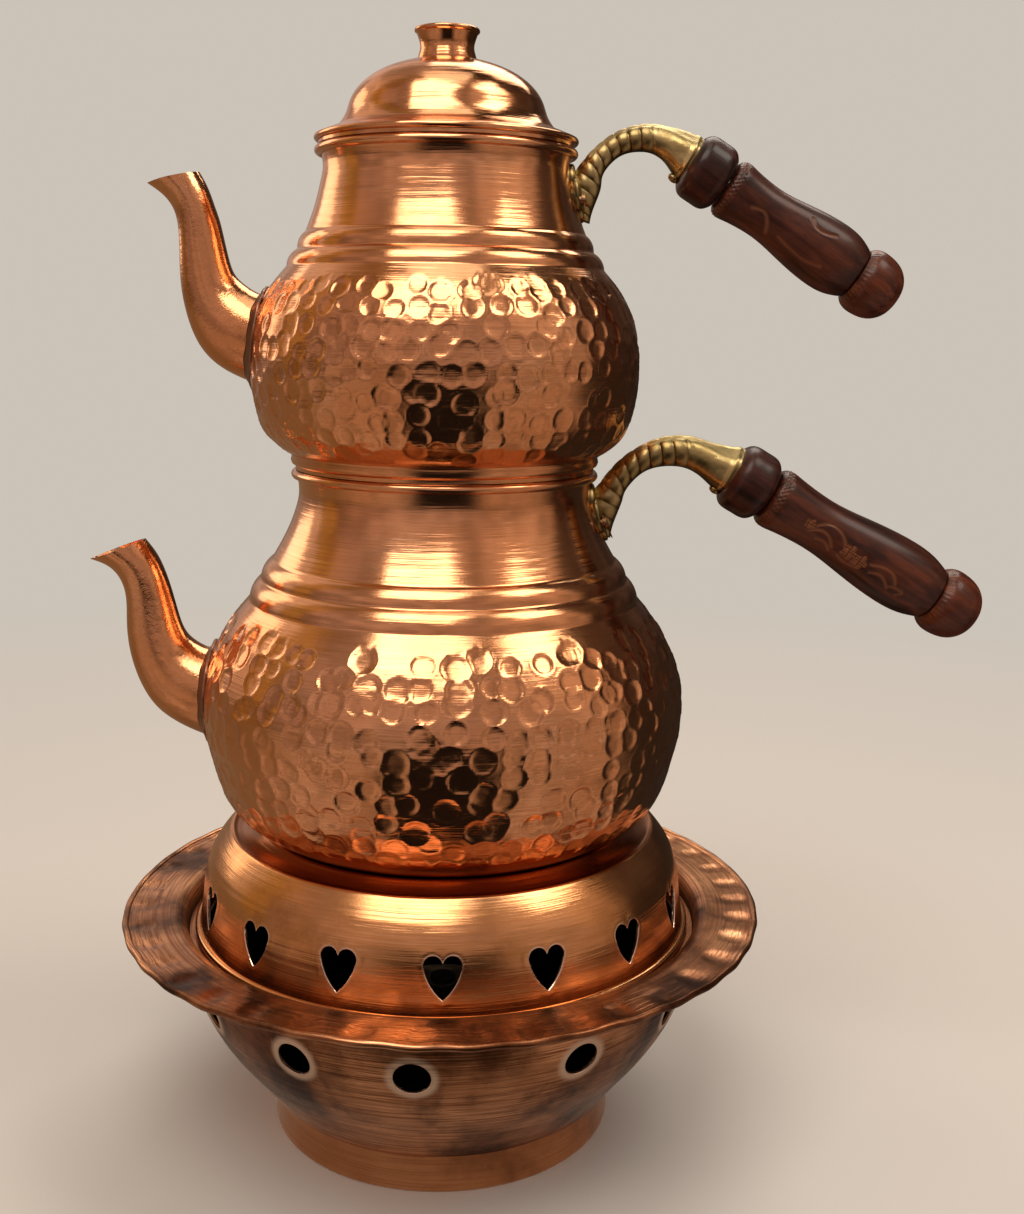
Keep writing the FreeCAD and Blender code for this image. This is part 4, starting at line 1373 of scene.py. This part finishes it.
def world():
    """A room with a paler left side and a dark right side, which lights the set and is mirrored in it.
    The camera sees the plain backdrop instead."""
    room = bpy.data.worlds.new("studio")
    bpy.context.scene.world = room
    g = Graph(room, "Generated")
    x, y, z, _ = g.parts()
    bearing = g.math("ARCTAN2", x, g.math("MULTIPLY", y, -1.0))
    walls = ramp(g, g.spread(bearing, -math.pi, math.pi), [
        (0.0, (0.66, 0.52, 0.45)), (0.195, (0.74, 0.57, 0.48)), (0.205, (0.56, 0.36, 0.13)),
        (0.245, (0.46, 0.28, 0.10)), (0.255, (0.40, 0.275, 0.235)), (0.44, (0.62, 0.455, 0.40)),
        (0.56, (0.48, 0.35, 0.31)), (0.66, (0.72, 0.53, 0.43)), (0.745, (0.58, 0.41, 0.32)),
        (0.765, (0.085, 0.056, 0.043)), (0.93, (0.065, 0.046, 0.038)), (1.0, (0.30, 0.23, 0.18)),
    ])
    up = ramp(g, g.spread(z, -1.0, 1.0), [
        (0.0, (0.10, 0.10, 0.10)), (0.46, (0.35, 0.33, 0.31)), (0.56, (0.75, 0.75, 0.75)),
        (0.78, (0.95, 0.95, 0.95)), (0.86, (0.80, 0.78, 0.75)), (1.0, (0.45, 0.43, 0.41)),
    ])
    furniture = g.spread(g.noise(g.position, 4.2, 3.0, 0.6), 0.40, 0.60, 0.58, 1.12)
    tone = g.blend(1.0, walls, up, "MULTIPLY")
    around = g.node("Background", {"Color": tone, "Strength": furniture})
    seen = g.node("Background", {"Color": (*BACKDROP, 1.0), "Strength": 1.0})
    camera_ray = g.node("LightPath", out="Is Camera Ray")
    g.end(g.node("MixShader", {0: camera_ray, 1: around, 2: seen}), "OutputWorld")


def softbox(name, azimuth, elevation, distance, width, height, power, colour=(1.0, 0.90, 0.78)):
    """A soft light that faces the middle of the set; azimuth from the front towards +X."""
    light = bpy.data.lights.new(name, "AREA")
    light.shape = "RECTANGLE"
    light.size = width
    light.size_y = height
    light.energy = power
    light.color = colour
    obj = bpy.data.objects.new(name, light)
    bpy.context.scene.collection.objects.link(obj)
    a, e = math.radians(azimuth), math.radians(elevation)
    aim = Vector((0, 0, 0.2))
    way = Vector((math.sin(a) * math.cos(e), -math.cos(a) * math.cos(e), math.sin(e)))
    obj.location = aim + distance * way
    obj.rotation_euler = (obj.location - aim).to_track_quat("Z", "Y").to_euler()


def lights():
    """Angles in degrees, distance and size in metres, power in watts."""
    softbox("key_window", -21, 59, 2.0, 1.36, 1.16, 18.0)
    softbox("side_window", 70, 53, 2.0, 0.80, 0.84, 8.8)
    softbox("back_window", 160, 48, 2.2, 1.3, 1.0, 14.0)
    softbox("back_wall", -130, 20, 2.4, 0.9, 1.2, 5.0, (1.0, 0.84, 0.66))
    softbox("top", 0, 89, 1.9, 0.9, 0.9, 3.2)


CAMERA_AT = (0, -0.520, 0.3044)
CAMERA_LENS = 42.03
CAMERA_YAW, CAMERA_PITCH, CAMERA_ROLL = math.radians(2.78), math.radians(11.35), math.radians(0.83)


def camera():
    """The camera stands straight in front, turned a little right, and looks down on the set."""
    data = bpy.data.cameras.new("camera")
    data.lens = CAMERA_LENS
    data.sensor_width = 36.0
    obj = bpy.data.objects.new("camera", data)
    bpy.context.scene.collection.objects.link(obj)
    yaw, pitch, roll = CAMERA_YAW, CAMERA_PITCH, CAMERA_ROLL
    ahead = Vector((math.sin(yaw) * math.cos(pitch), math.cos(yaw) * math.cos(pitch), -math.sin(pitch)))
    level = Vector((math.cos(yaw), -math.sin(yaw), 0))
    upright = level.cross(ahead)
    right = math.cos(roll) * level + math.sin(roll) * upright
    up = math.cos(roll) * upright - math.sin(roll) * level
    turned_so = Matrix((right, up, -ahead)).transposed().to_4x4()
    obj.matrix_world = Matrix.Translation(CAMERA_AT) @ turned_so
    bpy.context.scene.camera = obj


brazier()
cover()
for pot in (LOWER_POT, UPPER_POT):
    pot_body(pot)
    spout(pot)
    bracket(pot)
    handle(pot)
lid()
carried_over()
floor()
world()
lights()
camera()
bpy.context.scene.view_settings.view_transform = "Standard"
